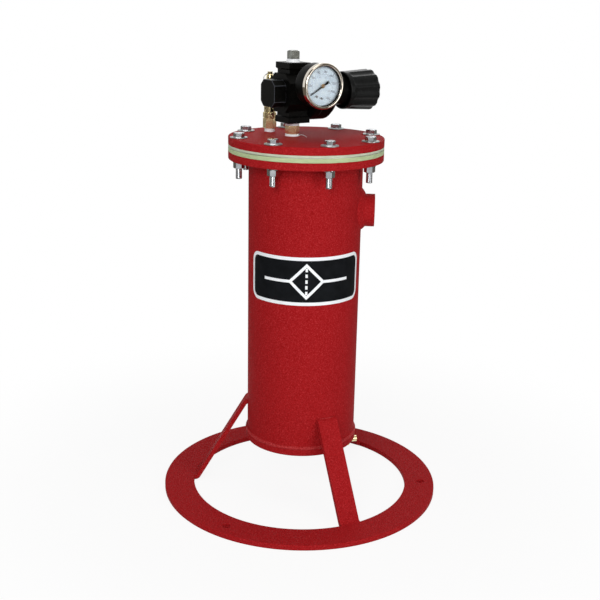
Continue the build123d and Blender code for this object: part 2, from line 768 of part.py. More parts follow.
def adjusting_screw():
    collar_high = BONNET_RIGHT - BONNET_TOP_T
    shank_high = BONNET_RIGHT + SCREW_SHANK_OUT
    screw = rod(SCREW_R, SCREW_LEFT, shank_high)
    screw += rod(SCREW_COLLAR_R, collar_high - SCREW_COLLAR_T, collar_high)
    screw += hexagon(SCREW_HEX_AF, shank_high, SCREW_RIGHT)
    return REG * ALONG_X * screw


def knob():
    """Moulded cap, a little wider at its end, with broad flutes past a plain skirt."""
    grip = turned(
        (0, KNOB_LEFT),
        (KNOB_SKIRT_R, KNOB_LEFT),
        (KNOB_R, KNOB_RIGHT - KNOB_END),
        (KNOB_R - KNOB_END, KNOB_RIGHT),
        (0, KNOB_RIGHT),
    )
    draft = math.atan((KNOB_R - KNOB_SKIRT_R) / (KNOB_RIGHT - KNOB_END - KNOB_LEFT))
    flute = Rot(0, math.degrees(draft), 0) * rod(FLUTE_R, KNOB_SKIRT_RIGHT - KNOB_RIGHT, OVER)
    flute = Pos(FLUTE_R - FLUTE_DEPTH, 0, KNOB_RIGHT) * flute
    grip -= [spot * flute for spot in spots(KNOB_R, KNOB_FLUTES, 0)]
    hollow = tube(KNOB_SKIRT_R - KNOB_WALL, KNOB_HUB_R, KNOB_LEFT, KNOB_RIGHT - KNOB_TOP_T)
    hub_room = rod(KNOB_HUB_R + OVER, KNOB_LEFT, BONNET_RIGHT + KNOB_HUB_ROOM)
    socket = hexagon(SCREW_HEX_AF + 2 * RUN_GAP, KNOB_LEFT, KNOB_RIGHT - KNOB_TOP_T)
    return REG * ALONG_X * (grip - hollow - hub_room - socket)


# Gauge


def gauge_case():
    back = -GAUGE_DEPTH
    front = -BEZEL_LIP - LENS_T
    outline = [
        (0, back),
        (CASE_R - CASE_EDGE, back),
        (CASE_R, back + CASE_EDGE),
        (CASE_R, front),
        (CASE_R - CASE_WALL, front),
        (CASE_R - CASE_WALL, CASE_FLOOR),
        (0, CASE_FLOOR),
    ]
    hole = Pos(0, -GAUGE_DROP, 0) * rod(STEM_NECK_R + SEAT_GAP, back - OVER, CASE_FLOOR + OVER)
    return GAUGE * (turned(*outline) - hole)


def gauge_bezel():
    """Rolled ring that holds the window on the case."""
    inner = CASE_R + SEAT_GAP
    outline = [
        (BEZEL_WINDOW_R, -BEZEL_LIP),
        (BEZEL_WINDOW_R, -BEZEL_LIP / 2),
        (BEZEL_WINDOW_R + BEZEL_SLOPE, 0),
        (BEZEL_R - BEZEL_EDGE, 0),
        (BEZEL_R, -BEZEL_EDGE),
        (BEZEL_R, -BEZEL_DEPTH),
        (inner, -BEZEL_DEPTH),
        (inner, -BEZEL_LIP),
    ]
    return GAUGE * turned(*outline)


def gauge_lens():
    return GAUGE * rod(CASE_R, -BEZEL_LIP - LENS_T, -BEZEL_LIP)


def gauge_dial():
    low = -DIAL_BEHIND - DIAL_T
    disc = rod(CASE_R - CASE_WALL - RUN_GAP, low, -DIAL_BEHIND)
    return GAUGE * (disc - rod(ARBOR_R + ARBOR_HOLE_GAP, low, -DIAL_BEHIND))


def gauge_pointer():
    """Black pointer with a broad tail and a brass-coloured hub, at zero pressure."""
    low = -DIAL_BEHIND + POINTER_Z - POINTER_T
    blade = make_face(
        Polyline(
            (0, POINTER_W / 2),
            (-POINTER_TAIL, POINTER_W),
            (-POINTER_TAIL, -POINTER_W),
            (0, -POINTER_W / 2),
            (POINTER_L, -POINTER_W / 6),
            (POINTER_L, POINTER_W / 6),
            close=True,
        )
    )
    pointer = Pos(0, 0, low) * extrude(blade, POINTER_T) + rod(POINTER_HUB_R, low, low + 2 * POINTER_T)
    pointer -= rod(ARBOR_R + SEAT_GAP, low - OVER, low + POINTER_T)
    return GAUGE * Rot(0, 0, POINTER_ZERO) * pointer


def gauge_stem():
    """Brass stem: thread and hexagon behind the case, and the block that carries the tube inside."""
    back = -GAUGE_DEPTH
    block_h = MOVEMENT_LOW - CASE_FLOOR
    stem = rod(QUARTER_INCH_R, STEM_FACE - THREAD_IN, back - STEM_HEX_H)
    stem += hexagon(STEM_AF, back - STEM_HEX_H, back)
    stem += rod(STEM_NECK_R, back - STEM_HEX_H, CASE_FLOOR)
    stem += Pos(0, 0, CASE_FLOOR) * Box(STEM_BLOCK_W, STEM_BLOCK_W, block_h, align=BOTTOM)
    stem -= rod(STEM_BORE_R, STEM_FACE - THREAD_IN - OVER, CASE_FLOOR + BOURDON_H / 2)
    return GAUGE * Pos(0, -GAUGE_DROP, 0) * stem


def bourdon_tube():
    """Flattened tube bent round most of a circle, sealed at its tip."""
    low = CASE_FLOOR + BOURDON_LIFT
    ring = tube(BOURDON_R + BOURDON_W / 2, BOURDON_R - BOURDON_W / 2, low, low + BOURDON_H)
    edges = [math.radians(angle) for angle in (BOURDON_GAP_FROM, BOURDON_GAP_TO)]
    reach = 2 * BOURDON_R
    corners = [(reach * math.cos(edge), reach * math.sin(edge)) for edge in edges]
    gap = Pos(0, 0, low) * extrude(make_face(Polyline((0, 0), *corners, close=True)), BOURDON_H)
    width = STEM_BLOCK_W + 2 * SEAT_GAP
    block = Pos(0, -GAUGE_DROP, low) * Box(width, width, BOURDON_H, align=BOTTOM)
    return GAUGE * (ring - gap - block)


def movement_plate():
    """Frame plate on the stem's block, with the pivots of the pinion and the sector."""
    plate = Pos(0, (PITCH_R - GAUGE_DROP) / 2, MOVEMENT_LOW) * Box(
        STEM_BLOCK_W, GAUGE_DROP + STEM_BLOCK_W, MOVEMENT_T, align=BOTTOM
    )
    for y in (0, -PITCH_R - SECTOR_R):
        plate -= Pos(0, y, 0) * rod(ARBOR_R + RUN_GAP, MOVEMENT_LOW - OVER, GEAR_LOW)
    return GAUGE * plate


def toothed(radius, teeth, low, high):
    """Disc with straight-sided teeth about a pitch radius."""
    step = 2 * math.pi / teeth
    corners = []
    for i in range(teeth):
        for share, side in TOOTH_FORM:
            angle = (i + share) * step
            r = radius + side * TOOTH_H / 2
            corners.append((r * math.cos(angle), r * math.sin(angle)))
    return Pos(0, 0, low) * extrude(make_face(Polyline(*corners, close=True)), high - low)


def gauge_pinion():
    """Arbor and pinion that turn the pointer."""
    arbor = rod(ARBOR_R, MOVEMENT_LOW, -DIAL_BEHIND + POINTER_Z)
    arbor += toothed(PITCH_R - SEAT_GAP, PINION_TEETH, GEAR_LOW, GEAR_LOW + 2 * SECTOR_T)
    return GAUGE * arbor


def gauge_sector():
    """Toothed sector that drives the pinion, on its own pivot."""
    teeth = PINION_TEETH * SECTOR_RATIO
    half_tooth = 180 / teeth
    wheel = toothed(SECTOR_R - SEAT_GAP, teeth, GEAR_LOW, GEAR_LOW + SECTOR_T)
    wheel = Rot(0, 0, TO_PINION + half_tooth) * wheel
    reach = 2 * SECTOR_R
    side = reach * math.tan(math.radians(SECTOR_SWEEP / 2))
    wedge = make_face(Polyline((0, 0), (reach, side), (reach, -side), close=True))
    middle = TO_PINION - POINTER_SWEEP / SECTOR_RATIO / 2
    fan = wheel & Pos(0, 0, GEAR_LOW) * Rot(0, 0, middle) * extrude(wedge, SECTOR_T)
    fan += rod(SECTOR_HUB_R, GEAR_LOW, GEAR_LOW + SECTOR_T)
    fan += rod(ARBOR_R, MOVEMENT_LOW, GEAR_LOW)
    return GAUGE * Pos(0, -PITCH_R - SECTOR_R, 0) * fan


# Relief valve


def relief_body():
    """Brass body: thread, hexagon, knurled collar and vented tube, with the seat inside."""
    body = rod(QUARTER_INCH_R, -THREAD_IN, RELIEF_TAPE_H)
    body += hex_nut(RELIEF_AF, RELIEF_TAPE_H, RELIEF_SEAT_Z, top=True, bottom=True)
    body += rod(RELIEF_TUBE_R, RELIEF_SEAT_Z, RELIEF_TUBE_H)
    body += rod(RELIEF_COLLAR_R, RELIEF_COLLAR_LOW, RELIEF_COLLAR_LOW + RELIEF_COLLAR_H)
    body -= rod(RELIEF_SEAT_R, -THREAD_IN - OVER, RELIEF_SEAT_Z)
    body -= rod(RELIEF_BORE_R, RELIEF_SEAT_Z, RELIEF_TUBE_H + OVER)
    vent_z = RELIEF_COLLAR_LOW + RELIEF_COLLAR_H + RELIEF_VENT_UP
    vent = Pos(0, 0, vent_z) * ALONG_X * rod(RELIEF_VENT_R, 0, RELIEF_TUBE_R + OVER)
    return RELIEF * (body - [spot * vent for spot in spots(0, RELIEF_VENTS, RELIEF_VENT_AZ)])


def relief_cap():
    """Screwed-in cap that sets the spring and guides the stem."""
    low = RELIEF_TUBE_H - RELIEF_CAP_IN
    bore = RELIEF_STEM_R + RUN_GAP
    shoulder = (RELIEF_CAP_R, RELIEF_TOP - RELIEF_DOME_H)
    crown = (RELIEF_CAP_R - RELIEF_DOME_IN, RELIEF_TOP)
    outline = [
        Polyline(
            crown,
            (bore, RELIEF_TOP),
            (bore, low),
            (RELIEF_BORE_R - SEAT_GAP, low),
            (RELIEF_BORE_R - SEAT_GAP, RELIEF_TUBE_H),
            (RELIEF_CAP_R, RELIEF_TUBE_H),
            shoulder,
        ),
        TangentArc(shoulder, crown, tangent=(0, 1)),
    ]
    return RELIEF * revolve(Plane.XZ * make_face(outline), Axis.Z)


def relief_stem():
    """Stem with the sealing disc at its foot and the ring's hole at its head."""
    stem = rod(RELIEF_DISC_R, RELIEF_SEAT_Z, RELIEF_SEAT_Z + RELIEF_DISC_H)
    stem += rod(RELIEF_STEM_R, RELIEF_SEAT_Z + RELIEF_DISC_H, RELIEF_TOP)
    stem += rod(RELIEF_HEAD_R, RELIEF_TOP, RELIEF_TOP + RELIEF_HEAD_H)
    hole = Rot(90, 0, 0) * rod(RING_HOLE_R, -RELIEF_HEAD_R, RELIEF_HEAD_R)
    return RELIEF * Rot(0, 0, RING_PULL_AZ) * (stem - Pos(0, 0, RELIEF_TOP + RING_HOLE_UP) * hole)


def relief_spring():
    low = RELIEF_SEAT_Z + RELIEF_DISC_H
    high = RELIEF_TUBE_H - RELIEF_CAP_IN
    return RELIEF * coil(RELIEF_COIL_R, RELIEF_WIRE, low, high, RELIEF_TURNS)


def relief_ring():
    """Pull ring through the stem's hole, hanging down over the cap."""
    eye = RELIEF_TOP + RING_HOLE_UP
    ring = Pos(RING_PULL_R, 0, 0) * Torus(RING_PULL_R, RING_WIRE_R)
    return RELIEF * Pos(0, 0, eye) * Rot(0, 0, RING_PULL_AZ) * Rot(0, RING_PULL_TILT, 0) * ring


# Drain


def drain_elbow():
    """Street elbow from the bottom plate's hole to the side."""
    neck = DRAIN_DROP - ELBOW_NECK
    top = DRAIN_DROP + THREAD_IN
    elbow = rod(ELBOW_R, 0, neck) + rod(DRAIN_PIPE_R, neck, top) + Sphere(ELBOW_R)
    elbow += ALONG_X * rod(ELBOW_R, 0, ELBOW_REACH)
    elbow -= rod(DRAIN_BORE_R, 0, top)
    elbow -= ALONG_X * rod(DRAIN_BORE_R, 0, ELBOW_REACH)
    elbow -= ALONG_X * rod(DRAIN_PIPE_R + SEAT_GAP, ELBOW_REACH - THREAD_IN, ELBOW_REACH)
    return DRAIN * elbow


def drain_nipple():
    pipe = tube(DRAIN_PIPE_R, DRAIN_BORE_R, ELBOW_REACH - THREAD_IN, NIPPLE_END + THREAD_IN)
    return DRAIN * ALONG_X * pipe


def petcock_body():
    """Drain cock: socket on the nipple, a cross bore for the key, and the spout."""
    shoulder = COCK_END - COCK_TAPER
    body = ALONG_X * Rot(0, 0, 180 / 6) * hexagon(2 * COCK_R, NIPPLE_END, shoulder)
    body += ALONG_X * turned(
        (0, shoulder),
        (COCK_R - COCK_STEP, shoulder),
        (SPOUT_R, COCK_END),
        (SPOUT_R, SPOUT_END),
        (0, SPOUT_END),
    )
    body -= ALONG_X * rod(DRAIN_PIPE_R + SEAT_GAP, NIPPLE_END - OVER, NIPPLE_END + THREAD_IN)
    body -= ALONG_X * rod(SPOUT_R / 2, NIPPLE_END, SPOUT_END + OVER)
    body -= Pos(KEY_X, 0, 0) * rod(KEY_R + RUN_GAP, -COCK_R - OVER, COCK_R + OVER)
    return DRAIN * body


def petcock_key():
    """Round plug with a cross bore, a retaining head and a bar handle."""
    seat = COCK_R + RUN_GAP
    top = seat + KEY_HEAD_T
    key = rod(KEY_R, -seat, seat)
    key += rod(KEY_HEAD_R, seat, top)
    key += rod(KEY_HEAD_R, -top, -seat)
    bar = Pos(0, 0, top) * Box(HANDLE_W, HANDLE_L, HANDLE_T, align=BOTTOM)
    key -= Rot(90, 0, 0) * rod(SPOUT_R / 2, -KEY_R - OVER, KEY_R + OVER)
    return DRAIN * Pos(KEY_X, 0, 0) * (key + bar)


def build_all():
    save("base_ring", base_ring())
    for name, azimuth in LEG_AZ.items():
        save(name, leg(azimuth))
    save("vessel_shell", vessel_shell())
    save("bottom_plate", bottom_plate())
    save("inlet_coupling", inlet_coupling())
    save("body_flange", body_flange())
    save("lower_gasket", gasket(FLANGE_TOP_Z, CARTRIDGE_LOW_Z))
    save("upper_gasket", gasket(CARTRIDGE_TOP_Z, LID_LOW_Z))
    save("lid", lid())
    save("lid_bolts", lid_bolts())
    save("lid_washers", lid_washers())
    save("lock_washers", lock_washers())
    save("lid_nuts", lid_nuts())

    save("cartridge_flange", cartridge_flange())
    save("cartridge_can", cartridge_can())
    height = CAN_LOW_Z + CAN_WALL
    save("lower_screen", screen(height))
    height += SCREEN_T
    save("lower_felt", filling(height, height + FELT_T))
    height += FELT_T
    upper = CARTRIDGE_LOW_Z - SCREEN_T - FELT_T
    middle = upper - CARBON_H - FELT_T
    save("drying_bed", filling(height, middle))
    save("middle_felt", filling(middle, middle + FELT_T))
    save("carbon_bed", filling(middle + FELT_T, upper))
    save("upper_felt", filling(upper, upper + FELT_T))
    save("upper_screen", screen(upper + FELT_T))

    save("riser_nipple", riser_nipple())
    save("thread_tape", thread_tape())
    save("port_plug", port_plug())
    save("regulator_body", regulator_body())
    save("valve_cap", valve_cap())
    save("cap_seal", cap_seal())
    save("valve_poppet", valve_poppet())
    save("poppet_spring", poppet_spring())
    save("diaphragm", diaphragm())
    save("diaphragm_plate", diaphragm_plate())
    save("bonnet", bonnet())
    save("control_spring", control_spring())
    save("spring_nut", spring_nut())
    save("adjusting_screw", adjusting_screw())
    save("knob", knob())

    save("gauge_case", gauge_case())
    save("gauge_bezel", gauge_bezel())
    save("gauge_lens", gauge_lens())
    save("gauge_dial", gauge_dial())
    save("gauge_pointer", gauge_pointer())
    save("gauge_stem", gauge_stem())
    save("bourdon_tube", bourdon_tube())
    save("movement_plate", movement_plate())
    save("gauge_pinion", gauge_pinion())
    save("gauge_sector", gauge_sector())

    save("relief_body", relief_body())
    save("relief_cap", relief_cap())
    save("relief_stem", relief_stem())
    save("relief_spring", relief_spring())
    save("relief_ring", relief_ring())

    save("drain_elbow", drain_elbow())
    save("drain_nipple", drain_nipple())
    save("petcock_body", petcock_body())
    save("petcock_key", petcock_key())


build_all()
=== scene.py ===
import json
import math
import random

import bmesh
import bpy
from mathutils import Matrix, Vector, noise

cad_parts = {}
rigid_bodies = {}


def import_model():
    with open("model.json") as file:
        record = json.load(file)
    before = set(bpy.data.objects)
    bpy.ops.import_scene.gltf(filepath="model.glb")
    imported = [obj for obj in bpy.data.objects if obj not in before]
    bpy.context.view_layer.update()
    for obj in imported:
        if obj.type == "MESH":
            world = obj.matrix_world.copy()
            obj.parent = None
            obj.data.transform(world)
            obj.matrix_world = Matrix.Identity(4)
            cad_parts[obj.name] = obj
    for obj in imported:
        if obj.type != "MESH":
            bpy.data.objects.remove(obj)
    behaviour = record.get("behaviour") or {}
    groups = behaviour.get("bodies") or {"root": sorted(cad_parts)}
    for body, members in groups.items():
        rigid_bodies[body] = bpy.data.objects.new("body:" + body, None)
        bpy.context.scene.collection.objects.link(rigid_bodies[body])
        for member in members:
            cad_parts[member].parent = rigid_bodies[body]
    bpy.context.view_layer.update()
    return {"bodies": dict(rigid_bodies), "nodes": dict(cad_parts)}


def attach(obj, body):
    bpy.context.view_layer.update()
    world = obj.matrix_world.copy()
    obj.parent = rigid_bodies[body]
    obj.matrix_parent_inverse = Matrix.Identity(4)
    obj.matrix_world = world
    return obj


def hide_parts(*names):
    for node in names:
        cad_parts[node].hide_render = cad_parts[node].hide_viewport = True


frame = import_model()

# Lengths are millimetres until they are placed; a place turns them into metres.
MM = Matrix.Scale(0.001, 4)
ALONG_X = Matrix.Rotation(math.pi / 2, 4, "Y")

# Vessel, stand and bolted joint
RING_TOP = 7.94
RING_BORE_R = 169.25
PIPE_R = 84.15
PIPE_WALL = 7.11
PIPE_LOW = 93.5
FLANGE_LOW = 522.5
LID_TOP = 555.05
LEG_AZ = (-62.8, 57.2, 177.2)
LEG_W = 31.75
LEG_WELD = 141.6
INLET_AZ = -3.0
INLET_Z = 448.5
INLET_R = 24.15
INLET_BORE_R = 19.5
INLET_FACE = 103.5
INLET_PITCH = 2.209
BOLT_AZ = 18.5
BOLT_COUNT = 8
BOLT_CIRCLE = 101.6
BOLT_R = 4.76
BOLT_END = 496.35
THREAD_PITCH = 1.5875
HEX_AF = 14.29
HEX_H = 6.1
NUT_H = 8.4
WASHER_R = 12.7
WASHER_T = 1.6
LOCK_R = 8.65
LOCK_T = 2.4

# Regulator, gauge, relief valve and drain
RISER = (-21.0, 3.0)
REG_Z = 617.45
REG_TURN = 33.0
PORT_LOW = 574.95
PORT_HIGH = 659.95
GAUGE_REACH = 76.0
GAUGE_RISE = 15.0
GAUGE_LEAN = 18.0
CASE_R = 30.6
CASE_BACK = -31.0
CASE_WALL = 1.2
CASE_LIP_R = 26.8
BEZEL_R = 31.9
BEZEL_BACK = -8.0
WINDOW_R = 27.7
LENS_FRONT = -1.6
LENS_BACK = -3.4
DIAL_FACE = -7.0
PRINT_LOW = 0.005
PRINT_HIGH = 0.04
POINTER_LOW = -5.4
POINTER_ZERO = 229.0
POINTER_SWEEP = 270.0
RELIEF = (-55.5, 45.0)
RING_EYE = 85.5
RING_PULL_R = 11.2
KNOB_SKIRT_R = 27.5
KNOB_R = 30.3
KNOB_LEFT = 85.0
KNOB_FLUTED_FROM = 91.0
KNOB_WIDEST = 133.5
KNOB_RIGHT = 137.0
KNOB_WALL = 2.0
KNOB_TOP_T = 5.0
KNOB_FLUTES = 12
FLUTE_R = 16.0
FLUTE_DEPTH = 1.6

# Label: half its length round the pipe, its ends up the pipe, and its turn from the front
LABEL_HALF = 95.0
LABEL_LOW = 322.0
LABEL_HIGH = 394.0
LABEL_CORNER = 14.0
LABEL_BORDER = 5.0
LABEL_TURN = math.radians(3.0)

# Camera, fitted to a photograph of 600 by 600 pixels; its place is in metres
CAMERA_AT = (0.0, -1.4651, 0.7542)
CAMERA_PITCH = 0.29745285
CAMERA_YAW = -0.0032031
CAMERA_ROLL = 0.0195652
FOCAL_PIXELS = 1000.667
PICTURE = 600
SENSOR = 36.0

# Light that falls on surfaces from all round, and the dim side of the room as metal shows it
AMBIENT = (0.29, 0.295, 0.3, 1)
DIM_ROOM = (0.12, 0.1, 0.075, 1)

# Lamps: place and target in metres, size, power and colour
LAMPS = {
    "key": ((-0.55, -2.2, 1.5), (0, 0, 0.35), (1.2, 1.2), 32, (1, 1, 1)),
    "fill": ((1.7, -1.6, 0.9), (0, 0, 0.35), (1.2, 1.2), 17, (1, 1, 1)),
    "back": ((0.5, 1.8, 1.6), (0, 0, 0.4), (1.4, 0.8), 5, (1, 1, 1)),
    "top": ((0, -0.2, 2.4), (0, 0, 0.3), (1.0, 1.0), 7.5, (1.0, 0.92, 0.84)),
}

# Finishes: dark and light shade, grains a metre, roughness, grains a metre and depth of the bump, stretch
PLAIN = {
    "gasket": ((166, 182, 136), (184, 198, 154), 90.0, (0.55, 0.75), (900.0, 0.00012), (1, 1, 3)),
    "gasket_grey": ((178, 188, 164), (196, 204, 182), 90.0, (0.55, 0.75), (900.0, 0.00012), (1, 1, 3)),
    "felt": ((214, 208, 192), (232, 228, 216), 700.0, (0.85, 0.98), (2200.0, 0.0003)),
    "drying_beads": ((226, 220, 205), (244, 240, 230), 330.0, (0.5, 0.7), (330.0, 0.0009)),
    "charcoal": ((22, 22, 23), (46, 46, 47), 400.0, (0.6, 0.85), (450.0, 0.0009)),
    "tape": ((238, 241, 245), (250, 252, 254), 500.0, (0.45, 0.65), (800.0, 0.0002)),
    "seal_rubber": ((24, 24, 24), (40, 40, 40), 500.0, (0.6, 0.8), (1500.0, 0.0001)),
    "dial_white": ((220, 238, 252), (232, 246, 255), 120.0, (0.4, 0.5)),
    "dial_print": ((66, 80, 104), (82, 96, 120), 900.0, (0.5, 0.6)),
    "label_white": ((236, 240, 244), (246, 248, 250), 60.0, (0.3, 0.4), (260.0, 0.00008)),
}
METALS = {
    "zinc": ((176, 180, 186), (200, 204, 208), 130.0, (0.12, 0.18), (300.0, 0.00001)),
    "washer_zinc": ((146, 148, 148), (176, 178, 178), 130.0, (0.3, 0.42), (1400.0, 0.00003)),
    "plug_zinc": ((104, 106, 100), (146, 148, 142), 120.0, (0.18, 0.28), (400.0, 0.00002)),
    "steel": ((208, 214, 198), (228, 233, 218), 200.0, (0.35, 0.5), (800.0, 0.00001)),
    "brass": ((238, 220, 170), (250, 236, 190), 60.0, (0.18, 0.24), (300.0, 0.00001)),
    "hub_brass": ((150, 122, 88), (170, 140, 102), 60.0, (0.35, 0.45), (300.0, 0.00001)),
    "case_chrome": ((204, 196, 184), (224, 217, 206), 60.0, (0.05, 0.1), (300.0, 0.00001)),
}

# Plastics begin with how much they reflect
PLASTICS = {
    "regulator_black": (0.05, (6, 6, 5), (14, 14, 13), 300.0, (0.3, 0.42), (900.0, 0.00008)),
    "knob_black": (0.09, (23, 24, 24), (30, 31, 31), 260.0, (0.2, 0.28), (900.0, 0.00003)),
    # Lighter grey for rounded edges: a painted highlight along them
    "edge_highlight_black": (0.05, (62, 64, 69), (78, 81, 87), 300.0, (0.3, 0.42), (900.0, 0.00008)),
    "pointer_black": (0.05, (3, 3, 4), (8, 8, 9), 500.0, (0.5, 0.6), (900.0, 0.00002)),
    "label_black": (0.05, (16, 18, 20), (24, 26, 29), 60.0, (0.3, 0.4), (260.0, 0.00008)),
}

# Paints: how much they reflect, then a shade for each stop, from the middle of a grain outwards; lighter
# middles are a painted highlight
PAINTS = {
    "red_paint": (0.03, (182, 50, 52), (164, 31, 35), (156, 25, 28), (146, 18, 20)),
    # The weld shades are lighter than the paint's: a painted highlight on the beads' upper faces
    "red_weld_highlight": (0.1, (194, 76, 76), (178, 54, 56), (166, 40, 42), (152, 26, 28)),
}
PAINT_STOPS = (0.5, 0.66, 0.85, 1.0)


def at(x, y, z, turn=0.0):
    """Place at a point in millimetres, turned about Z."""
    spot = Matrix.Translation((x / 1000, y / 1000, z / 1000))
    return spot @ Matrix.Rotation(math.radians(turn), 4, "Z") @ MM


def gauge_place():
    """Place of the gauge: X and Y lie across its dial, Z comes out of it."""
    lean = math.radians(GAUGE_LEAN)
    right = Vector((math.cos(lean), 0, -math.sin(lean)))
    up = Vector((math.sin(lean), 0, math.cos(lean)))
    out = Vector((0, -1, 0))
    axes = Matrix((right, up, out)).transposed().to_4x4()
    return REG @ Matrix.Translation(up * GAUGE_RISE + out * GAUGE_REACH) @ axes


WORLD = MM
REG = at(*RISER, REG_Z, REG_TURN)
REG_X = REG @ ALONG_X
GAUGE = gauge_place()
VALVE = at(*RELIEF, LID_TOP)


# Materials


def srgb(red, green, blue):
    """Linear colour of an 8 bit one."""
    out = []
    for value in (red, green, blue):
        value /= 255
        out.append(value / 12.92 if value <= 0.04045 else ((value + 0.055) / 1.055) ** 2.4)
    return (*out, 1.0)


def add_node(tree, kind, *inputs, **values):
    """Shader node with its first inputs linked or set, in order."""
    made = tree.nodes.new("ShaderNode" + kind)
    for name, value in values.items():
        setattr(made, name, value)
    for i, value in enumerate(inputs):
        if isinstance(value, bpy.types.NodeSocket):
            tree.links.new(value, made.inputs[i])
        elif value is not None:
            made.inputs[i].default_value = value
    return made.outputs[0]


class Finish:
    """One procedural material, built from noise in metres."""

    def __init__(self, name, **sockets):
        self.material = bpy.data.materials.new(name)
        self.material.use_nodes = True
        self.tree = self.material.node_tree
        self.shader = self.tree.nodes["Principled BSDF"]
        self.where = self.tree.nodes.new("ShaderNodeTexCoord").outputs["Object"]
        for socket, value in sockets.items():
            self.shader.inputs[socket.replace("_", " ")].default_value = value

    def node(self, kind, **values):
        made = self.tree.nodes.new("ShaderNode" + kind)
        for name, value in values.items():
            if name in made.inputs:
                made.inputs[name].default_value = value
            else:
                setattr(made, name, value)
        return made

    def join(self, output, socket):
        self.tree.links.new(output, socket)

    def grain(self, scale, detail=3.0, stretch=None):
        """Noise of so many bumps a metre."""
        made = self.node("TexNoise", Scale=scale, Detail=detail)
        where = self.where
        if stretch:
            mapping = self.node("Mapping")
            mapping.inputs["Scale"].default_value = stretch
            self.join(where, mapping.inputs["Vector"])
            where = mapping.outputs["Vector"]
        self.join(where, made.inputs["Vector"])
        return made.outputs["Fac"]

    def cells(self, scale):
        """Distance from the middles of so many rounded cells a metre."""
        made = self.node("TexVoronoi", feature="SMOOTH_F1", Scale=scale, Smoothness=1.0)
        self.join(self.where, made.inputs["Vector"])
        return made.outputs["Distance"]

    def colour(self, fac, *stops):
        """Base colour ramp over a noise: (position, colour) stops."""
        ramp = self.node("ValToRGB")
        elements = ramp.color_ramp.elements
        while len(elements) < len(stops):
            elements.new(0.5)
        for element, (position, value) in zip(elements, stops):
            element.position = position
            element.color = value
        self.join(fac, ramp.inputs["Fac"])
        self.join(ramp.outputs["Color"], self.shader.inputs["Base Color"])

    def roughness(self, fac, low, high):
        spread = self.node("MapRange")
        for name, value in (("From Min", 0.3), ("From Max", 0.7), ("To Min", low), ("To Max", high)):
            spread.inputs[name].default_value = value
        self.join(fac, spread.inputs["Value"])
        self.join(spread.outputs["Result"], self.shader.inputs["Roughness"])

    def bump(self, height, distance, strength=1.0):
        made = self.node("Bump", Strength=strength, Distance=distance)
        self.join(height, made.inputs["Height"])
        if self.shader.inputs["Normal"].is_linked:
            self.join(self.shader.inputs["Normal"].links[0].from_socket, made.inputs["Normal"])
        self.join(made.outputs["Normal"], self.shader.inputs["Normal"])


def plain_finish(name, dark, light, scale, rough, bump=None, stretch=None, **sockets):
    """Two colours blended by a grain, with roughness and bump from grains of their own."""
    made = Finish(name, **sockets)
    made.colour(made.grain(scale, stretch=stretch), (0.3, srgb(*dark)), (0.7, srgb(*light)))
    made.roughness(made.grain(scale * 2.3), *rough)
    if bump:
        made.bump(made.grain(bump[0], detail=2.0), bump[1])
    return made.material


def paint(name, specular, *shades):
    """Textured powder coat: small rounded grains, lighter in their middles as a painted highlight on their
    tops, mixed with a noise mottling.
    """
    made = Finish(name, Specular_IOR_Level=specular)
    fine = made.cells(900.0)
    blend = made.node("Math", operation="MULTIPLY_ADD")
    made.join(fine, blend.inputs[0])
    blend.inputs[1].default_value = 0.7
    made.join(made.grain(520.0, detail=3.0), blend.inputs[2])
    made.colour(blend.outputs[0], *zip(PAINT_STOPS, [srgb(*shade) for shade in shades]))
    made.roughness(made.grain(700.0), 0.5, 0.64)
    made.bump(made.grain(150.0, detail=1.0), 0.00018)
    made.bump(fine, 0.0005, 0.9)
    return made.material


def glass():
    """Clear window: part of the light goes straight through, so that the dial behind it is lit."""
    made = Finish("window", Transmission_Weight=1.0, IOR=1.46, Alpha=0.34)
    made.colour(made.grain(40.0), (0.3, (0.97, 0.985, 1.0, 1.0)), (0.7, (1.0, 1.0, 1.0, 1.0)))
    made.roughness(made.grain(90.0), 0.0, 0.02)
    return made.material


def finishes():
    made = {"window": glass()}
    for name, values in PAINTS.items():
        made[name] = paint(name, *values)
    for name, values in PLAIN.items():
        made[name] = plain_finish(name, *values)
    for name, values in METALS.items():
        made[name] = plain_finish(name, *values, Metallic=1.0)
    for name, (specular, *values) in PLASTICS.items():
        made[name] = plain_finish(name, *values, Specular_IOR_Level=specular)
    return made


FINISH = finishes()


# Meshes


def body_of(node):
    """Name of the body that a CAD node rides on."""
    parent = frame["nodes"][node].parent
    for name, body in frame["bodies"].items():
        if body == parent:
            return name
    raise ValueError(node)


def settle(obj, finish, body, nodes=(), sharp=38.0):
    """Smooth a piece, give it its finish, and let it ride on its body in place of CAD nodes."""
    mesh = obj.data
    mesh.materials.clear()
    mesh.materials.append(FINISH[finish])
    mesh.shade_smooth()
    mesh.set_sharp_from_angle(angle=math.radians(sharp))
    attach(obj, body)
    if nodes:
        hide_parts(*nodes)


def new_object(name, data):
    obj = bpy.data.objects.new(name, data)
    bpy.context.scene.collection.objects.link(obj)
    return obj


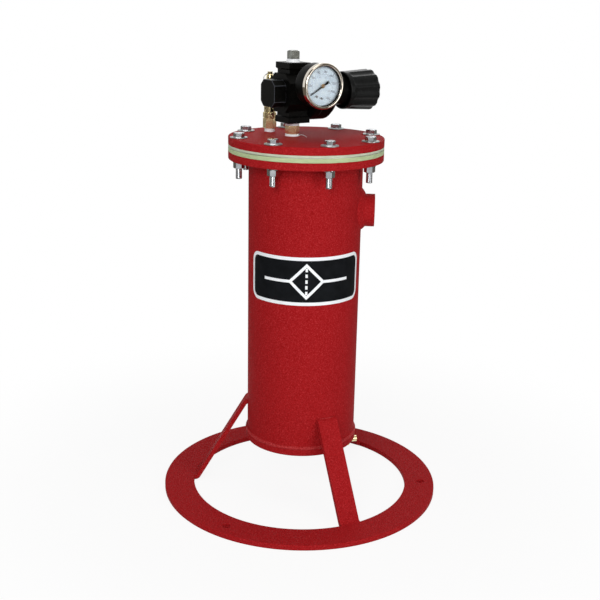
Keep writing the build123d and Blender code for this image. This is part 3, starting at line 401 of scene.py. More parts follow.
class Shape:
    """Vertices and faces in millimetres, gathered before they become one mesh."""

    def __init__(self):
        self.verts = []
        self.faces = []

    def grid(self, rows, wrap_rows=False):
        """Quads between closed rows of points."""
        start = len(self.verts)
        width = len(rows[0])
        for row in rows:
            self.verts.extend(row)
        count = len(rows)
        for i in range(count if wrap_rows else count - 1):
            for j in range(width):
                a = start + i * width + j
                b = start + i * width + (j + 1) % width
                c = start + (i + 1) % count * width + (j + 1) % width
                d = start + (i + 1) % count * width + j
                self.faces.append((a, b, c, d))
        return self

    def cap(self, row, flip=False):
        """One face over a row of points."""
        start = len(self.verts)
        self.verts.extend(row)
        face = tuple(range(start, start + len(row)))
        self.faces.append(face[::-1] if flip else face)
        return self

    def copies(self, places):
        """The same shape at each place, a matrix in millimetres."""
        verts = self.verts
        faces = self.faces
        self.verts = []
        self.faces = []
        for place in places:
            start = len(self.verts)
            self.verts.extend([tuple(place @ Vector(v)) for v in verts])
            self.faces.extend([tuple(start + i for i in face) for face in faces])
        return self

    def object(self, name, place):
        mesh = bpy.data.meshes.new(name)
        mesh.from_pydata([tuple(v) for v in self.verts], [], self.faces)
        mesh.transform(place)
        tidy(mesh)
        return new_object(name, mesh)


def tidy(mesh, flat=None):
    """Merge doubled points, drop faces without area, and turn the faces outwards."""
    work = bmesh.new()
    work.from_mesh(mesh)
    bmesh.ops.remove_doubles(work, verts=work.verts, dist=2e-6)
    bmesh.ops.dissolve_degenerate(work, edges=work.edges, dist=1e-7)
    if flat:
        bmesh.ops.dissolve_limit(work, angle_limit=flat, verts=work.verts, edges=work.edges)
    bmesh.ops.recalc_face_normals(work, faces=work.faces)
    work.to_mesh(mesh)
    work.free()


def ring(radius, z, count):
    """Points round the Z axis."""
    step = 2 * math.pi / count
    return [(radius * math.cos(i * step), radius * math.sin(i * step), z) for i in range(count)]


def lathe(profile, count=128):
    """Closed outline of (radius, height) points, turned about Z."""
    return Shape().grid([ring(max(r, 0.0), z, count) for r, z in profile], wrap_rows=True)


def eased(points, ease, steps=4):
    """Closed outline with its corners rounded; a third number on a point is its own easing."""
    out = []
    count = len(points)
    for i, point in enumerate(points):
        here = Vector(point[:2])
        before = Vector(points[i - 1][:2]) - here
        after = Vector(points[(i + 1) % count][:2]) - here
        reach = point[2] if len(point) > 2 else ease
        reach = min(reach, before.length * 0.48, after.length * 0.48)
        if here.x < 1e-6 or reach <= 0:
            out.append(tuple(here))
            continue
        start = here + before.normalized() * reach
        end = here + after.normalized() * reach
        for k in range(steps + 1):
            t = k / steps
            out.append(tuple(start * (1 - t) ** 2 + here * 2 * t * (1 - t) + end * t * t))
    return out


def evaluated_mesh(obj):
    """New mesh of an object with its modifiers applied, or of a text."""
    bpy.context.view_layer.update()
    graph = bpy.context.evaluated_depsgraph_get()
    return bpy.data.meshes.new_from_object(obj.evaluated_get(graph))


def softened(node, width, finish, edge=None):
    """Rounded copy of a CAD node that stands in for it; its rounded edges can have a finish of their own,
    used as a painted highlight.
    """
    mesh = frame["nodes"][node].data.copy()
    tidy(mesh, flat=math.radians(0.4))
    obj = new_object(node + "_soft", mesh)
    bevel = obj.modifiers.new("edges", "BEVEL")
    bevel.width = width / 1000
    bevel.segments = 3
    bevel.limit_method = "ANGLE"
    bevel.angle_limit = math.radians(30.0)
    if edge:
        mesh.materials.clear()
        mesh.materials.append(FINISH[finish])
        mesh.materials.append(FINISH[edge])
        bevel.material = 1
    mesh = evaluated_mesh(obj)
    obj.modifiers.clear()
    obj.data = mesh
    # Faces of the rounded edges, which get the lighter painted-highlight finish
    highlight_faces = [face.index for face in mesh.polygons if edge and face.material_index == 1]
    settle(obj, finish, body_of(node), [node])
    if edge:
        mesh.materials.append(FINISH[edge])
        for index in highlight_faces:
            mesh.polygons[index].material_index = 1
    weighted = obj.modifiers.new("normals", "WEIGHTED_NORMAL")
    weighted.keep_sharp = True


def bead(path, radius, ripple, seed, closed=True):
    """Weld bead: a round rope along points, with overlapping ripples of one length."""
    around = 10
    rows = []
    count = len(path)
    travelled = 0.0
    for i, point in enumerate(path):
        here = Vector(point)
        before = Vector(path[i - 1]) if closed or i else here
        after = Vector(path[(i + 1) % count]) if closed or i < count - 1 else here
        along = (after - before).normalized()
        if i:
            travelled += (here - Vector(path[i - 1])).length
        side = along.cross(Vector((0, 0, 1)))
        if side.length < 1e-3:
            side = along.cross(Vector((1, 0, 0)))
        side.normalize()
        up = side.cross(along)
        wave = abs(math.sin(math.pi * travelled / ripple)) ** 0.6
        rough = noise.noise(here * 0.11 + Vector((seed, 0, 0)))
        size = radius * (0.86 + 0.14 * wave + 0.1 * rough)
        row = []
        for k in range(around):
            turn = 2 * math.pi * k / around
            row.append(tuple(here + side * math.cos(turn) * size + up * math.sin(turn) * size))
        rows.append(row)
    shape = Shape().grid(rows, wrap_rows=closed)
    return shape if closed else shape.cap(rows[0]).cap(rows[-1])


# Fasteners


def hex_radius(turn, flats):
    """Distance to the side of a hexagon in one direction, with its corners a little blunted."""
    share = (turn + math.pi / 6) % (math.pi / 3) - math.pi / 6
    corner = flats / 2 / math.cos(math.pi / 6)
    return min(flats / 2 / math.cos(share), corner * 0.992)


def hex_block(flats, low, high, bore, round_top, round_bottom):
    """Hexagon whose corners are turned off in the usual curved way, with an eased bore."""
    count = 96
    face = flats / 2 - 0.35
    slope = math.tan(math.radians(30))
    turns = [2 * math.pi * i / count for i in range(count)]
    sides = [hex_radius(turn, flats) for turn in turns]

    def side_row(z, drop=0.0):
        return [
            ((r - drop) * math.cos(turn), (r - drop) * math.sin(turn), z)
            for turn, r in zip(turns, sides)
        ]

    def worn_row(z, inward):
        """Sides of a rounded end, which reach further in at the corners."""
        return [
            (r * math.cos(turn), r * math.sin(turn), z + inward * (max(r - face, 0) * slope + 0.12))
            for turn, r in zip(turns, sides)
        ]

    def end(z, inward, rounded):
        """Rows from the middle or the bore out to the sides."""
        rows = [ring(0.0, z, count)]
        if bore:
            rows = [ring(bore, z + 0.5 * inward, count), ring(bore + 0.5, z, count)]
        if rounded:
            return rows + [ring(face, z, count), worn_row(z, inward)]
        return rows + [side_row(z, 0.15), side_row(z + 0.15 * inward)]

    rows = end(low, 1, round_bottom) + end(high, -1, round_top)[::-1]
    return Shape().grid(rows, wrap_rows=bool(bore))


def thread_rows(radius, pitch, low, high, depth, count):
    """Rows of a helical V thread, fading out at its low end."""
    rows_per_pitch = 6
    steps = max(2, int((high - low) / pitch * rows_per_pitch))
    rows = []
    for i in range(steps + 1):
        z = low + (high - low) * i / steps
        start = min(1.0, (z - low) / pitch)
        row = []
        for k in range(count):
            turn = 2 * math.pi * k / count
            phase = (z / pitch - k / count) % 1.0
            cut = depth * abs(2 * phase - 1) * start + depth * (1 - start) * 0.8
            size = radius - cut
            row.append((size * math.cos(turn), size * math.sin(turn), z))
        rows.append(row)
    return rows


def bolt_places(turned_by):
    """Places of the screws, each turned by what turned_by gives for its azimuth."""
    places = []
    for i in range(BOLT_COUNT):
        turn = math.radians(BOLT_AZ + i * 360 / BOLT_COUNT)
        spot = Matrix.Translation((BOLT_CIRCLE * math.cos(turn), BOLT_CIRCLE * math.sin(turn), 0))
        places.append(spot @ Matrix.Rotation(turned_by(turn), 4, "Z"))
    return places


def make_fasteners():
    random.seed(7)
    places = bolt_places(lambda turn: math.pi / 6 + random.uniform(-0.1, 0.1))
    seat = LID_TOP + WASHER_T
    bolt = hex_block(HEX_AF, seat, seat + HEX_H, 0, True, False)
    nut_high = FLANGE_LOW - LOCK_T
    count = 28
    rows = [ring(0.0, BOLT_END, count), ring(BOLT_R - 1.1, BOLT_END, count)]
    rows += thread_rows(BOLT_R, THREAD_PITCH, BOLT_END + 0.4, nut_high - 2, 0.35, count)
    rows += [ring(BOLT_R - 0.1, nut_high, count), ring(BOLT_R - 0.1, seat, count)]
    bolt.grid(rows)
    settle(bolt.copies(places).object("flange_bolts", WORLD), "zinc", "filter", ["lid_bolts"])

    nut = hex_block(HEX_AF, nut_high - NUT_H, nut_high, BOLT_R + 0.05, False, True)
    random.seed(11)
    turned = bolt_places(lambda turn: math.pi / 6 + random.uniform(-0.12, 0.12))
    settle(nut.copies(turned).object("flange_nuts", WORLD), "zinc", "filter", ["lid_nuts"])

    hole = BOLT_R + 0.3
    outline = [(hole, 0), (WASHER_R, 0), (WASHER_R, WASHER_T, 0.7), (hole, WASHER_T)]
    washer = lathe([(r, z + LID_TOP) for r, z in eased(outline, 0.3)], 64)
    settle(washer.copies(places).object("flat_washers", WORLD), "washer_zinc", "filter", ["lid_washers"])

    hole = BOLT_R + 0.2
    low, high = 0.15, LOCK_T - 0.15
    section = eased([(hole, low), (LOCK_R, low), (LOCK_R, high), (hole, high)], 0.3, 2)
    rows = []
    steps = 60
    for i in range(steps + 1):
        turn = math.radians(4 + 352 * i / steps)
        rise = 0.25 * (i / steps - 0.5)
        rows.append([
            (r * math.cos(turn), r * math.sin(turn), nut_high + min(max(z + rise, 0), LOCK_T))
            for r, z in section
        ])
    spring = Shape().grid(rows).cap(rows[0]).cap(rows[-1])
    out_facing = bolt_places(lambda turn: turn)
    settle(spring.copies(out_facing).object("spring_washers", WORLD), "zinc", "filter", ["lock_washers"])


# Stand and vessel


def make_vessel():
    softened("base_ring", 1.1, "red_paint")
    for node in ("leg_front", "leg_rear", "leg_left"):
        softened(node, 0.9, "red_paint")
    softened("body_flange", 0.7, "red_paint")
    softened("lid", 0.9, "red_paint")
    softened("lower_gasket", 0.7, "gasket")
    softened("upper_gasket", 0.5, "gasket_grey")
    softened("bottom_plate", 0.6, "red_paint")
    make_welds()
    make_inlet()
    make_label()


def make_welds():
    """Beads under the flange, round the bottom plate, and at both ends of the legs."""
    # The bottom and leg-stub beads take the lighter weld red, a painted highlight
    bottom = bead(ring(PIPE_R + 0.2, PIPE_LOW + 2.9, 360), 2.9, 4.0, 1)
    settle(bottom.object("plate_weld", WORLD), "red_weld_highlight", "filter", sharp=60)
    top = bead(ring(PIPE_R + 1.7, FLANGE_LOW - 1.9, 360), 3.1, 4.4, 2)
    settle(top.object("flange_weld", WORLD), "red_paint", "filter", sharp=60)
    for i, azimuth in enumerate(LEG_AZ):
        place = Matrix.Rotation(math.radians(azimuth), 4, "Z") @ WORLD
        reach = LEG_W / 2
        foot = []
        stub = []
        for k in range(61):
            y = reach * (k / 30 - 1) * 0.97
            foot.append((math.sqrt(RING_BORE_R**2 - y * y) - 0.2, y, RING_TOP - 0.55))
            stub.append((math.sqrt(PIPE_R**2 - y * y) + 0.4, y, LEG_WELD))
        foot_bead = bead(foot, 1.15, 3.0, 3 + i, closed=False)
        settle(foot_bead.object("foot_weld_%d" % i, place), "red_paint", "filter", sharp=60)
        stub_bead = bead(stub, 1.9, 3.4, 6 + i, closed=False)
        settle(stub_bead.object("leg_weld_%d" % i, place), "red_weld_highlight", "filter", sharp=60)


def make_inlet():
    """Half coupling with a threaded bore, and its ripple weld where it meets the pipe."""
    height = Matrix.Translation((0, 0, INLET_Z / 1000))
    place = Matrix.Rotation(math.radians(INLET_AZ), 4, "Z") @ height @ ALONG_X @ WORLD
    inside = math.sqrt((PIPE_R - PIPE_WALL) ** 2 - INLET_R**2)
    count = 96
    rows = [ring(INLET_BORE_R, inside, count), ring(INLET_R, inside, count)]
    rows += [ring(INLET_R, INLET_FACE - 0.8, count), ring(INLET_R - 0.25, INLET_FACE - 0.22, count)]
    rows += [ring(INLET_R - 0.8, INLET_FACE, count), ring(INLET_BORE_R + 1.4, INLET_FACE, count)]
    thread = thread_rows(INLET_BORE_R + 1.0, INLET_PITCH, inside + 6, INLET_FACE - 0.9, 1.0, count)
    rows += thread[::-1]
    shape = Shape().grid(rows, wrap_rows=True)
    settle(shape.object("inlet_socket", place), "red_paint", "filter", ["inlet_coupling"], sharp=50)

    rows = []
    steps = 9
    for j in range(-1, steps + 1):
        share = max(j, 0) / steps
        row = []
        for i in range(360):
            turn = 2 * math.pi * i / 360
            radius = INLET_R - 0.2 + (7.4 + 1.8 * math.sin(turn)) * (1 - share)
            across = radius * math.cos(turn)
            wave = abs(math.sin(turn * 20 + 1.2 * share)) ** 0.7
            rough = noise.noise(Vector((math.cos(turn) * 4, math.sin(turn) * 4, 12 + share)))
            bulge = (0.1 + 0.6 * wave + 0.3 * rough) * math.sin(math.pi * share)
            out = math.sqrt(PIPE_R**2 - across**2) + 6.2 * share - 0.3 + bulge - (1.5 if j < 0 else 0)
            row.append((-radius * math.sin(turn), across, out))
        rows.append(row)
    rows.append([(-y, x, math.sqrt(PIPE_R**2 - x * x) - 1.5) for x, y, z in ring(INLET_R - 0.2, 0, 360)])
    ripple = Shape().grid(rows, wrap_rows=True)
    settle(ripple.object("inlet_weld", place), "red_paint", "filter", sharp=60)


def label_patch(name, outline, lift, finish):
    """Flat outline of (along, up) points, cut into strips and wrapped onto the pipe."""
    strip = 3.0
    thickness = 0.09
    mesh = bpy.data.meshes.new(name)
    work = bmesh.new()
    work.faces.new([work.verts.new((x, 0, z)) for x, z in outline])
    low_x = min(x for x, z in outline)
    high_x = max(x for x, z in outline)
    cuts = int((high_x - low_x) / strip)
    for i in range(1, cuts):
        x = low_x + (high_x - low_x) * i / cuts
        geometry = work.verts[:] + work.edges[:] + work.faces[:]
        bmesh.ops.bisect_plane(work, geom=geometry, plane_co=(x, 0, 0), plane_no=(1, 0, 0))
    radius = PIPE_R + lift
    for vert in work.verts:
        turn = vert.co.x / PIPE_R - math.pi / 2 + LABEL_TURN
        vert.co = (radius * math.cos(turn), radius * math.sin(turn), vert.co.z)
    added = bmesh.ops.extrude_face_region(work, geom=work.faces[:])
    for item in added["geom"]:
        if isinstance(item, bmesh.types.BMVert):
            item.co -= Vector((item.co.x, item.co.y, 0)).normalized() * thickness
    work.to_mesh(mesh)
    work.free()
    mesh.transform(WORLD)
    tidy(mesh)
    settle(new_object(name, mesh), finish, "filter", sharp=30)


def rounded_box(half, low, high, radius):
    """Outline of a box with round corners."""
    steps = 10
    points = []
    corners = ((half, high, 0), (-half, high, 90), (-half, low, 180), (half, low, 270))
    for x, z, start in corners:
        centre_x = x - math.copysign(radius, x)
        centre_z = z - (radius if z == high else -radius)
        for k in range(steps + 1):
            turn = math.radians(start + 90 * k / steps)
            points.append((centre_x + radius * math.cos(turn), centre_z + radius * math.sin(turn)))
    return points


def band(start, end, width):
    """Straight stroke between two points."""
    a = Vector(start)
    b = Vector(end)
    side = (b - a).orthogonal().normalized() * width / 2
    return [tuple(a + side), tuple(b + side), tuple(b - side), tuple(a - side)]


def make_label():
    """Plain label with the drawing sign for a filter: a diamond on a line, with a dashed middle."""
    outer = rounded_box(LABEL_HALF, LABEL_LOW, LABEL_HIGH, LABEL_CORNER)
    label_patch("label_edge", outer, 0.1, "label_white")
    inset = LABEL_BORDER
    inner = rounded_box(LABEL_HALF - inset, LABEL_LOW + inset, LABEL_HIGH - inset, LABEL_CORNER - inset)
    label_patch("label_field", inner, 0.2, "label_black")
    middle = (LABEL_LOW + LABEL_HIGH) / 2
    size = 24.0
    width = 4.2
    line_end = 66.0
    dash = 5.2
    dash_step = 8.6
    corners = [(0, middle + size), (size, middle), (0, middle - size), (-size, middle)]
    strokes = []
    for i in range(4):
        a = Vector(corners[i])
        b = Vector(corners[(i + 1) % 4])
        over = (b - a).normalized() * width / 2
        strokes.append(band(a - over, b + over, width))
    for side in (1, -1):
        strokes.append(band((side * (size + 1.5), middle), (side * line_end, middle), width))
    for k in range(-2, 3):
        z = middle + k * dash_step
        strokes.append(band((0, z - dash / 2), (0, z + dash / 2), width * 0.8))
    for i, stroke in enumerate(strokes):
        label_patch("label_sign_%d" % i, stroke, 0.3 + 0.012 * (i % 2), "label_white")


# Fittings on the lid


def wrapped_band(low, high, inner, outer, wave, seed, taper=0.0):
    """Band of thread tape: overlapping wraps with slightly torn edges."""
    count = 96
    rows = [ring(inner, low, count)]
    levels = 14
    for i in range(levels + 1):
        share = i / levels
        row = []
        for k in range(count):
            turn = 2 * math.pi * k / count
            wrap = 0.14 * math.sin(share * 9 + turn * 2 + seed)
            edge = noise.noise(Vector((math.cos(turn) * 3, math.sin(turn) * 3, seed + share * 2.5)))
            size = outer - taper * share + wave * (wrap + edge * 0.5 - 0.3)
            z = low + (high - low) * share + edge * 0.5 * (share - 0.5)
            row.append((size * math.cos(turn), size * math.sin(turn), min(max(z, low), high)))
        rows.append(row)
    rows.append(ring(inner - taper, high, count))
    return Shape().grid(rows, wrap_rows=True)


def make_lid_fittings():
    softened("riser_nipple", 0.5, "brass")
    softened("port_plug", 0.7, "plug_zinc")
    riser = at(*RISER, 0)
    bands = [
        (riser, wrapped_band(LID_TOP + 0.02, LID_TOP + 3.0, 8.65, 10.5, 0.5, 1.0)),
        (riser, wrapped_band(LID_TOP + 15.5, PORT_LOW, 8.65, 10.3, 0.3, 2.0)),
        (riser, wrapped_band(PORT_HIGH + 0.02, PORT_HIGH + 4.5, 8.65, 10.5, 0.35, 3.0, taper=1.95)),
        (VALVE, wrapped_band(0.02, 5.0, 6.9, 7.7, 0.35, 4.0)),
    ]
    for i, (place, shape) in enumerate(bands):
        obj = shape.object("tape_%d" % i, place)
        settle(obj, "tape", "filter", ["thread_tape"] if i == 0 else (), sharp=60)
    make_tape_tail()


def make_tape_tail():
    """Loose end of the tape, which curls over the lid and narrows."""
    rows = []
    steps = 24
    for i in range(steps + 1):
        t = i / steps
        x = RISER[0] + 9.6 + 12.0 * t
        y = RISER[1] - 1.6 - 13.0 * t * t + 0.9 * math.sin(t * 5)
        z = LID_TOP + 0.35 + 1.9 * math.sin(t * math.pi) * (1 - t * 0.5)
        half = 1.9 * (1 - t) ** 0.6 + 0.25
        rows.append([(x, y + half, z + 0.12), (x, y - half, z + 0.12), (x, y - half, z), (x, y + half, z)])
    tail = Shape().grid(rows).cap(rows[0]).cap(rows[-1])
    settle(tail.object("tape_tail", WORLD), "tape", "filter", sharp=60)


# Regulator


def make_regulator():
    # The rounded edges of the body and valve cap get a lighter grey: a painted highlight
    softened("regulator_body", 0.7, "regulator_black", edge="edge_highlight_black")
    softened("valve_cap", 0.7, "regulator_black", edge="edge_highlight_black")
    softened("bonnet", 0.8, "regulator_black")
    make_knob()


def make_knob():
    """Moulded knob: it widens towards its end, with twelve broad flutes past a plain skirt."""
    inner = KNOB_SKIRT_R - KNOB_WALL
    hollow_end = KNOB_RIGHT - KNOB_TOP_T
    flute_turn = 2 * math.pi / KNOB_FLUTES
    count = KNOB_FLUTES * 32
    turns = [2 * math.pi * i / count for i in range(count)]

    def radius_at(x):
        share = (min(x, KNOB_WIDEST) - KNOB_LEFT) / (KNOB_WIDEST - KNOB_LEFT)
        return KNOB_SKIRT_R + (KNOB_R - KNOB_SKIRT_R) * share

    def fluted(turn, radius, share):
        """Radius in one direction, with a share of the flutes' depth."""
        middle = radius + FLUTE_R - FLUTE_DEPTH * share
        part = (turn + flute_turn / 2) % flute_turn - flute_turn / 2
        inside = FLUTE_R**2 - (middle * math.sin(part)) ** 2
        if inside <= 0:
            return radius
        return min(radius, middle * math.cos(part) - math.sqrt(inside))

    rows = []

    def row(x, share=0.0, drop=0.0):
        sizes = [fluted(t, radius_at(x), share) - drop for t in turns]
        rows.append([(r * math.cos(t), r * math.sin(t), x) for t, r in zip(turns, sizes)])

    def round_rows(*sizes):
        rows.extend([ring(radius, x, count) for radius, x in sizes])

    round_rows((0.0, hollow_end), (inner, hollow_end), (inner, KNOB_LEFT + 0.4), (inner + 0.4, KNOB_LEFT))
    round_rows((KNOB_SKIRT_R - 0.4, KNOB_LEFT), (KNOB_SKIRT_R - 0.1, KNOB_LEFT + 0.3))
    for i in range(9):
        row(KNOB_LEFT + 0.8 + (KNOB_FLUTED_FROM - KNOB_LEFT - 1.0) * i / 8)
    for x, share in ((0.1, 0.25), (0.5, 0.6), (1.0, 0.85), (1.7, 1.0)):
        row(KNOB_FLUTED_FROM + x, share)
    for i in range(1, 11):
        row(KNOB_FLUTED_FROM + 1.7 + (KNOB_WIDEST - KNOB_FLUTED_FROM - 2.0) * i / 10, 1.0)
    for x, share, drop in ((133.8, 1, 0.15), (134.8, 1, 0.6), (135.8, 0.9, 1.4), (136.6, 0.8, 2.4)):
        row(x, share, drop)
    row(KNOB_RIGHT, 0.7, 3.6)
    round_rows((22.0, KNOB_RIGHT), (21.6, KNOB_RIGHT - 0.2))
    round_rows((21.1, KNOB_RIGHT - 0.4), (0.0, KNOB_RIGHT - 0.4))
    shape = Shape().grid(rows)
    settle(shape.object("fluted_knob", REG_X), "knob_black", body_of("knob"), ["knob"], sharp=30)


# Gauge


def make_gauge():
    inner = CASE_R + 0.05
    outline = [
        (WINDOW_R, LENS_FRONT, 0.2),
        (WINDOW_R, -0.9, 0.3),
        (29.0, 0, 0.8),
        (BEZEL_R - 1.3, 0, 1.2),
        (BEZEL_R, -1.6, 1.4),
        (BEZEL_R, BEZEL_BACK, 0.9),
        (inner, BEZEL_BACK, 0.2),
        (inner, LENS_FRONT, 0.2),
    ]
    bezel = lathe(eased(outline, 0.3, 6), 160)
    settle(bezel.object("rolled_bezel", GAUGE), "case_chrome", "filter", ["gauge_bezel"], sharp=50)

    wall = CASE_R - CASE_WALL
    case = [
        (0, CASE_BACK),
        (CASE_R - 1.6, CASE_BACK, 1.6),
        (CASE_R, CASE_BACK + 2.4, 1.6),
        (CASE_R, LENS_BACK),
        (CASE_LIP_R, LENS_BACK),
        (CASE_LIP_R, DIAL_FACE + 0.05),
        (wall, DIAL_FACE + 0.05),
        (wall, CASE_BACK + CASE_WALL),
        (0, CASE_BACK + CASE_WALL),
    ]
    shell = lathe(eased(case, 0.2, 5), 160)
    settle(shell.object("case_shell", GAUGE), "regulator_black", "filter", ["gauge_case"], sharp=50)

    dome = []
    for i in range(13):
        r = CASE_R * i / 12
        dome.append((r, LENS_FRONT + 0.9 * max(0.0, 1 - (r / WINDOW_R) ** 2)))
    lens = lathe(dome + [(CASE_R, LENS_BACK), (0, LENS_BACK)])
    settle(lens.object("lens", GAUGE), "window", "filter", ["gauge_lens"], sharp=50)

    hole = 0.9
    edge = wall - 0.1
    plate = [(hole, DIAL_FACE - 0.8), (edge, DIAL_FACE - 0.8), (edge, DIAL_FACE, 0.2), (hole, DIAL_FACE)]
    dial = lathe(eased(plate, 0.05, 2))
    settle(dial.object("dial_plate", GAUGE), "dial_white", "filter", ["gauge_dial"])
    make_scale()
    make_dial_screws()
    make_pointer()
    softened("gauge_stem", 0.4, "brass")


def make_dial_screws():
    """Two small round-headed screws that hold the dial."""
    radius = 1.8
    high = 0.6
    head = [(0, 0.0), (radius, 0.0), (radius, 0.35, 0.2), (0.6, high, 0.2), (0, high)]
    for i, side in enumerate((-1, 1)):
        screw = lathe(eased(head, 0.1, 3), 32)
        spot = GAUGE @ Matrix.Translation((side * 4.3, -16.3, DIAL_FACE))
        settle(screw.object("dial_screw_%d" % i, spot), "pointer_black", "filter", sharp=30)


def on_dial(turn, radius, z=0.0):
    """Point at an angle in degrees, at a height over the dial."""
    angle = math.radians(turn)
    return Vector((radius * math.cos(angle), radius * math.sin(angle), DIAL_FACE + z))


def make_scale():
    """Ticks, arcs and plain numbers round the dial."""
    shape = Shape()

    def tick(turn, inner, outer, width):
        along = on_dial(turn, 1) - on_dial(turn, 0)
        side = Vector((-along.y, along.x, 0)) * width / 2
        near, far = on_dial(turn, inner), on_dial(turn, outer)
        corners = (near - side, far - side, far + side, near + side)
        low = [tuple(c + Vector((0, 0, PRINT_LOW))) for c in corners]
        high = [tuple(c + Vector((0, 0, PRINT_HIGH))) for c in corners]
        shape.grid([low, high]).cap(high).cap(low, flip=True)

    for i in range(33):
        turn = POINTER_ZERO - POINTER_SWEEP * i / 32
        long = i % 4 == 0
        tick(turn, 22.6 if long else 24.0, 25.6, 0.5 if long else 0.28)
    for radius, width in ((25.7, 0.35), (16.4, 0.2)):
        rows = []
        steps = 120
        for i in range(steps + 1):
            turn = POINTER_ZERO - POINTER_SWEEP * i / steps
            rows.append([
                tuple(on_dial(turn, radius + out, z))
                for out, z in ((0, PRINT_LOW), (width, PRINT_LOW), (width, PRINT_HIGH), (0, PRINT_HIGH))
            ])
        shape.grid(rows).cap(rows[0]).cap(rows[-1])
    for i in range(23):
        turn = POINTER_ZERO - POINTER_SWEEP * i / 22
        tick(turn, 15.0, 16.4, 0.22)
    settle(shape.object("dial_ticks", GAUGE), "dial_print", "filter", sharp=30)

    numbers = bmesh.new()
    for i in range(9):
        turn = POINTER_ZERO - POINTER_SWEEP * i / 8
        add_number(numbers, str(i * 20), on_dial(turn, 19.6), 4.6)
    for i in range(6):
        turn = POINTER_ZERO - POINTER_SWEEP * i * 4 / 22
        add_number(numbers, str(i * 2), on_dial(turn, 12.6), 2.7)
    mesh = bpy.data.meshes.new("dial_numbers")
    numbers.to_mesh(mesh)
    numbers.free()
    mesh.transform(GAUGE)
    settle(new_object("dial_numbers", mesh), "dial_print", "filter", sharp=30)


def add_number(work, text, spot, size):
    """Add a raised number to the work."""
    curve = bpy.data.curves.new("number", "FONT")
    curve.body = text
    curve.size = size
    curve.align_x = "CENTER"
    curve.align_y = "CENTER"
    curve.extrude = 0.02
    curve.offset = 0.06
    curve.resolution_u = 4
    obj = new_object("number", curve)
    mesh = evaluated_mesh(obj)
    mesh.transform(Matrix.Translation(spot + Vector((0, 0, 0.03))))
    work.from_mesh(mesh)
    bpy.data.objects.remove(obj)
    bpy.data.meshes.remove(mesh)


def make_pointer():
    """Black pointer with a broad tail, and its hub."""
    side = [(23.0, 0.55), (2.2, 1.3), (-4.8, 1.3), (-5.4, 1.8), (-11.1, 1.8), (-11.4, 1.5)]
    outline = side + [(x, -y) for x, y in side[::-1]]
    zero = Matrix.Rotation(math.radians(POINTER_ZERO), 4, "Z")
    low = [(x, y, POINTER_LOW) for x, y in outline]
    high = [(x, y, POINTER_LOW + 0.6) for x, y in outline]
    blade = Shape().grid([low, high]).cap(high).cap(low, flip=True)
    body = body_of("gauge_pointer")
    settle(blade.object("pointer_blade", GAUGE @ zero), "pointer_black", body, ["gauge_pointer"], sharp=30)
    top = POINTER_LOW + 1.2
    hub = [
        (0, POINTER_LOW - 0.3),
        (2.9, POINTER_LOW - 0.3),
        (2.9, top - 0.35, 0.3),
        (1.6, top - 0.15, 0.2),
        (1.3, top, 0.2),
        (0, top),
    ]
    settle(lathe(eased(hub, 0.2, 4), 48).object("pointer_hub", GAUGE), "hub_brass", body, sharp=30)


# Relief valve


def make_relief():
    softened("relief_body", 0.4, "brass")
    dome = [
        (2.0, 61.6),
        (6.3, 61.6),
        (6.3, 69.5),
        (7.6, 69.5, 0.5),
        (7.6, 74.2, 0.8),
        (5.9, 76.0, 1.2),
        (5.8, 80.4, 2.0),
        (5.0, 83.4, 1.0),
        (3.95, 84.4, 0.3),
        (2.0, 84.4),
    ]
    cap = lathe(eased(dome, 0.25, 5), 96)
    settle(cap.object("domed_cap", VALVE), "brass", body_of("relief_cap"), ["relief_cap"], sharp=50)
    softened("relief_stem", 1.1, "brass")
    make_knurled_collar()
    make_pull_ring()


def make_knurled_collar():
    """Collar with two crossed sets of helical grooves."""
    low = 21.5
    high = 28.4
    inner = 9.4
    groove_r = 9.85
    ridge = 0.32
    grooves = 22
    slant = 1.35
    count = 180
    levels = 14
    rows = [ring(inner, low, count)]
    for i in range(levels + 1):
        z = low + (high - low) * i / levels
        row = []
        for k in range(count):
            turn = 2 * math.pi * k / count
            left = abs(math.sin(turn * grooves + z * slant))
            right = abs(math.sin(turn * grooves - z * slant))
            size = groove_r + ridge * min(left, right)
            row.append((size * math.cos(turn), size * math.sin(turn), z))
        rows.append(row)
    rows.append(ring(inner, high, count))
    collar = Shape().grid(rows, wrap_rows=True)
    settle(collar.object("knurled_collar", VALVE), "brass", "filter", sharp=25)


def make_pull_ring():
    """Split wire ring: a little more than one turn, its ends lapped side by side."""
    place = VALVE @ Matrix.Translation((0, 0, RING_EYE)) @ Matrix.Rotation(math.radians(-75.0), 4, "Z")
    place = place @ Matrix.Rotation(math.radians(52.0), 4, "Y") @ Matrix.Translation((RING_PULL_R, 0, 0))
    rows = []
    steps = 150
    wire = 0.68
    for i in range(steps + 1):
        t = i / steps
        turn = math.radians(-20 + 400 * t)
        side = (t - 0.5) * 0.55
        row = []
        for k in range(12):
            spin = 2 * math.pi * k / 12
            r = RING_PULL_R + wire * math.cos(spin)
            row.append((r * math.cos(turn), r * math.sin(turn), side + wire * math.sin(spin)))
        rows.append(row)
    loop = Shape().grid(rows).cap(rows[0]).cap(rows[-1])
    settle(loop.object("split_ring", place), "zinc", body_of("relief_ring"), ["relief_ring"], sharp=40)


def make_drain():
    for node in ("drain_elbow", "petcock_body", "petcock_key"):
        softened(node, 0.5, "brass")


# Carried-over CAD nodes, camera and light


def dress_nodes():
    """Give the CAD nodes that stay in view the finishes of their slots."""
    for name, obj in frame["nodes"].items():
        for slot in obj.material_slots:
            base = slot.material.name.split(".")[0] if slot.material else ""
            if base in FINISH:
                slot.material = FINISH[base]
            else:
                print("no finish for", name, base)


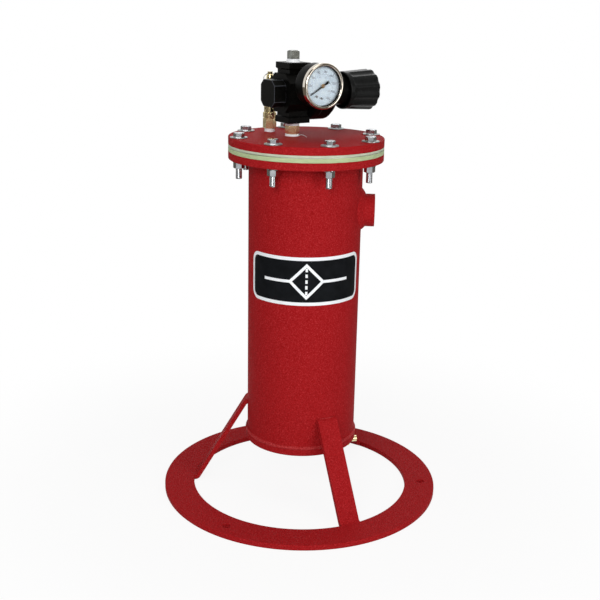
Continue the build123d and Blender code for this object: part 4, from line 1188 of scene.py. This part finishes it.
def make_camera():
    """The photograph's camera, built from its pitch, yaw and roll."""
    data = bpy.data.cameras.new("camera")
    data.sensor_width = SENSOR
    data.lens = FOCAL_PIXELS * SENSOR / PICTURE
    data.clip_end = 50.0
    obj = new_object("camera", data)
    forward = Vector((
        math.sin(CAMERA_YAW) * math.cos(CAMERA_PITCH),
        math.cos(CAMERA_YAW) * math.cos(CAMERA_PITCH),
        -math.sin(CAMERA_PITCH),
    ))
    right = Vector((math.cos(CAMERA_YAW), -math.sin(CAMERA_YAW), 0))
    up = right.cross(forward)
    turned_right = right * math.cos(CAMERA_ROLL) + up * math.sin(CAMERA_ROLL)
    turned_up = up * math.cos(CAMERA_ROLL) - right * math.sin(CAMERA_ROLL)
    axes = Matrix((turned_right, turned_up, -forward)).transposed().to_4x4()
    obj.matrix_world = Matrix.Translation(CAMERA_AT) @ axes
    bpy.context.scene.camera = obj


def area_light(name, spot, target, size, power, colour):
    """Rectangular lamp at a spot, facing its target."""
    data = bpy.data.lights.new(name, "AREA")
    data.shape = "RECTANGLE"
    data.size, data.size_y = size
    data.energy = power
    data.color = colour
    obj = new_object(name, data)
    obj.location = spot
    obj.rotation_euler = (Vector(target) - Vector(spot)).to_track_quat("-Z", "Y").to_euler()


def ray(tree, name):
    """1 for rays of one kind, 0 for others."""
    return tree.nodes.new("ShaderNodeLightPath").outputs["Is " + name + " Ray"]


def seen_directly(tree):
    """1 where a surface is seen by the camera, in metal or through glass."""
    total = ray(tree, "Camera")
    for name in ("Glossy", "Transmission"):
        total = add_node(tree, "Math", total, ray(tree, name), operation="MAXIMUM")
    return total


def smooth(tree, value, low, high, at_low, at_high):
    """Value carried smoothly from one range to another."""
    return add_node(tree, "MapRange", value, low, high, at_low, at_high, interpolation_type="SMOOTHSTEP")


def in_metal(tree, share):
    """A share for reflections, and 0 for what isn't a reflection."""
    return add_node(tree, "Math", ray(tree, "Glossy"), share, operation="MULTIPLY")


def make_world(scene):
    """White all round; in metal, the side of the room behind the viewer is dim and warm."""
    scene.world = bpy.data.worlds.new("studio")
    scene.world.use_nodes = True
    tree = scene.world.node_tree
    where = tree.nodes.new("ShaderNodeTexCoord").outputs["Generated"]
    split = tree.nodes.new("ShaderNodeSeparateXYZ")
    tree.links.new(where, split.inputs[0])
    near = smooth(tree, split.outputs["Y"], -0.25, 0.5, 1.0, 0.0)
    shown = add_node(tree, "MixRGB", in_metal(tree, near), (1, 1, 1, 1), DIM_ROOM)
    colour = add_node(tree, "MixRGB", seen_directly(tree), AMBIENT, shown)
    tree.links.new(colour, tree.nodes["Background"].inputs["Color"])


def make_floor():
    """Pale floor that fades into the white background and keeps the shadow near the object."""
    verts = [(-6, -6, 0), (6, -6, 0), (6, 6, 0), (-6, 6, 0)]
    mesh = bpy.data.meshes.new("floor")
    mesh.from_pydata(verts, [], [(0, 1, 2, 3)])
    floor = new_object("floor", mesh)
    material = bpy.data.materials.new("floor")
    material.use_nodes = True
    tree = material.node_tree
    shader = tree.nodes["Principled BSDF"]
    shader.inputs["Base Color"].default_value = (0.8, 0.8, 0.8, 1)
    shader.inputs["Roughness"].default_value = 0.9
    shader.inputs["Specular IOR Level"].default_value = 0.0
    where = tree.nodes.new("ShaderNodeTexCoord").outputs["Object"]
    length = tree.nodes.new("ShaderNodeVectorMath")
    length.operation = "LENGTH"
    tree.links.new(where, length.inputs[0])
    white = smooth(tree, length.outputs["Value"], 0.25, 0.75, 0.9, 1.0)
    split = tree.nodes.new("ShaderNodeSeparateXYZ")
    tree.links.new(where, split.inputs[0])
    aside = add_node(tree, "Math", split.outputs["X"], operation="ABSOLUTE")
    dim = smooth(tree, aside, 0.15, 0.9, 0.12, 0.95)
    colour = add_node(tree, "MixRGB", in_metal(tree, dim), (1, 1, 1, 1), DIM_ROOM)
    glow = add_node(tree, "Emission", colour)
    share = add_node(tree, "Math", seen_directly(tree), white, operation="MULTIPLY")
    surface = add_node(tree, "MixShader", share, shader.outputs["BSDF"], glow)
    tree.links.new(surface, tree.nodes["Material Output"].inputs["Surface"])
    mesh.materials.append(material)


def make_studio():
    scene = bpy.context.scene
    scene.view_settings.view_transform = "Standard"
    make_world(scene)
    make_floor()
    for name, values in LAMPS.items():
        area_light(name, *values)


make_vessel()
make_fasteners()
make_lid_fittings()
make_regulator()
make_gauge()
make_relief()
make_drain()
dress_nodes()
make_camera()
make_studio()
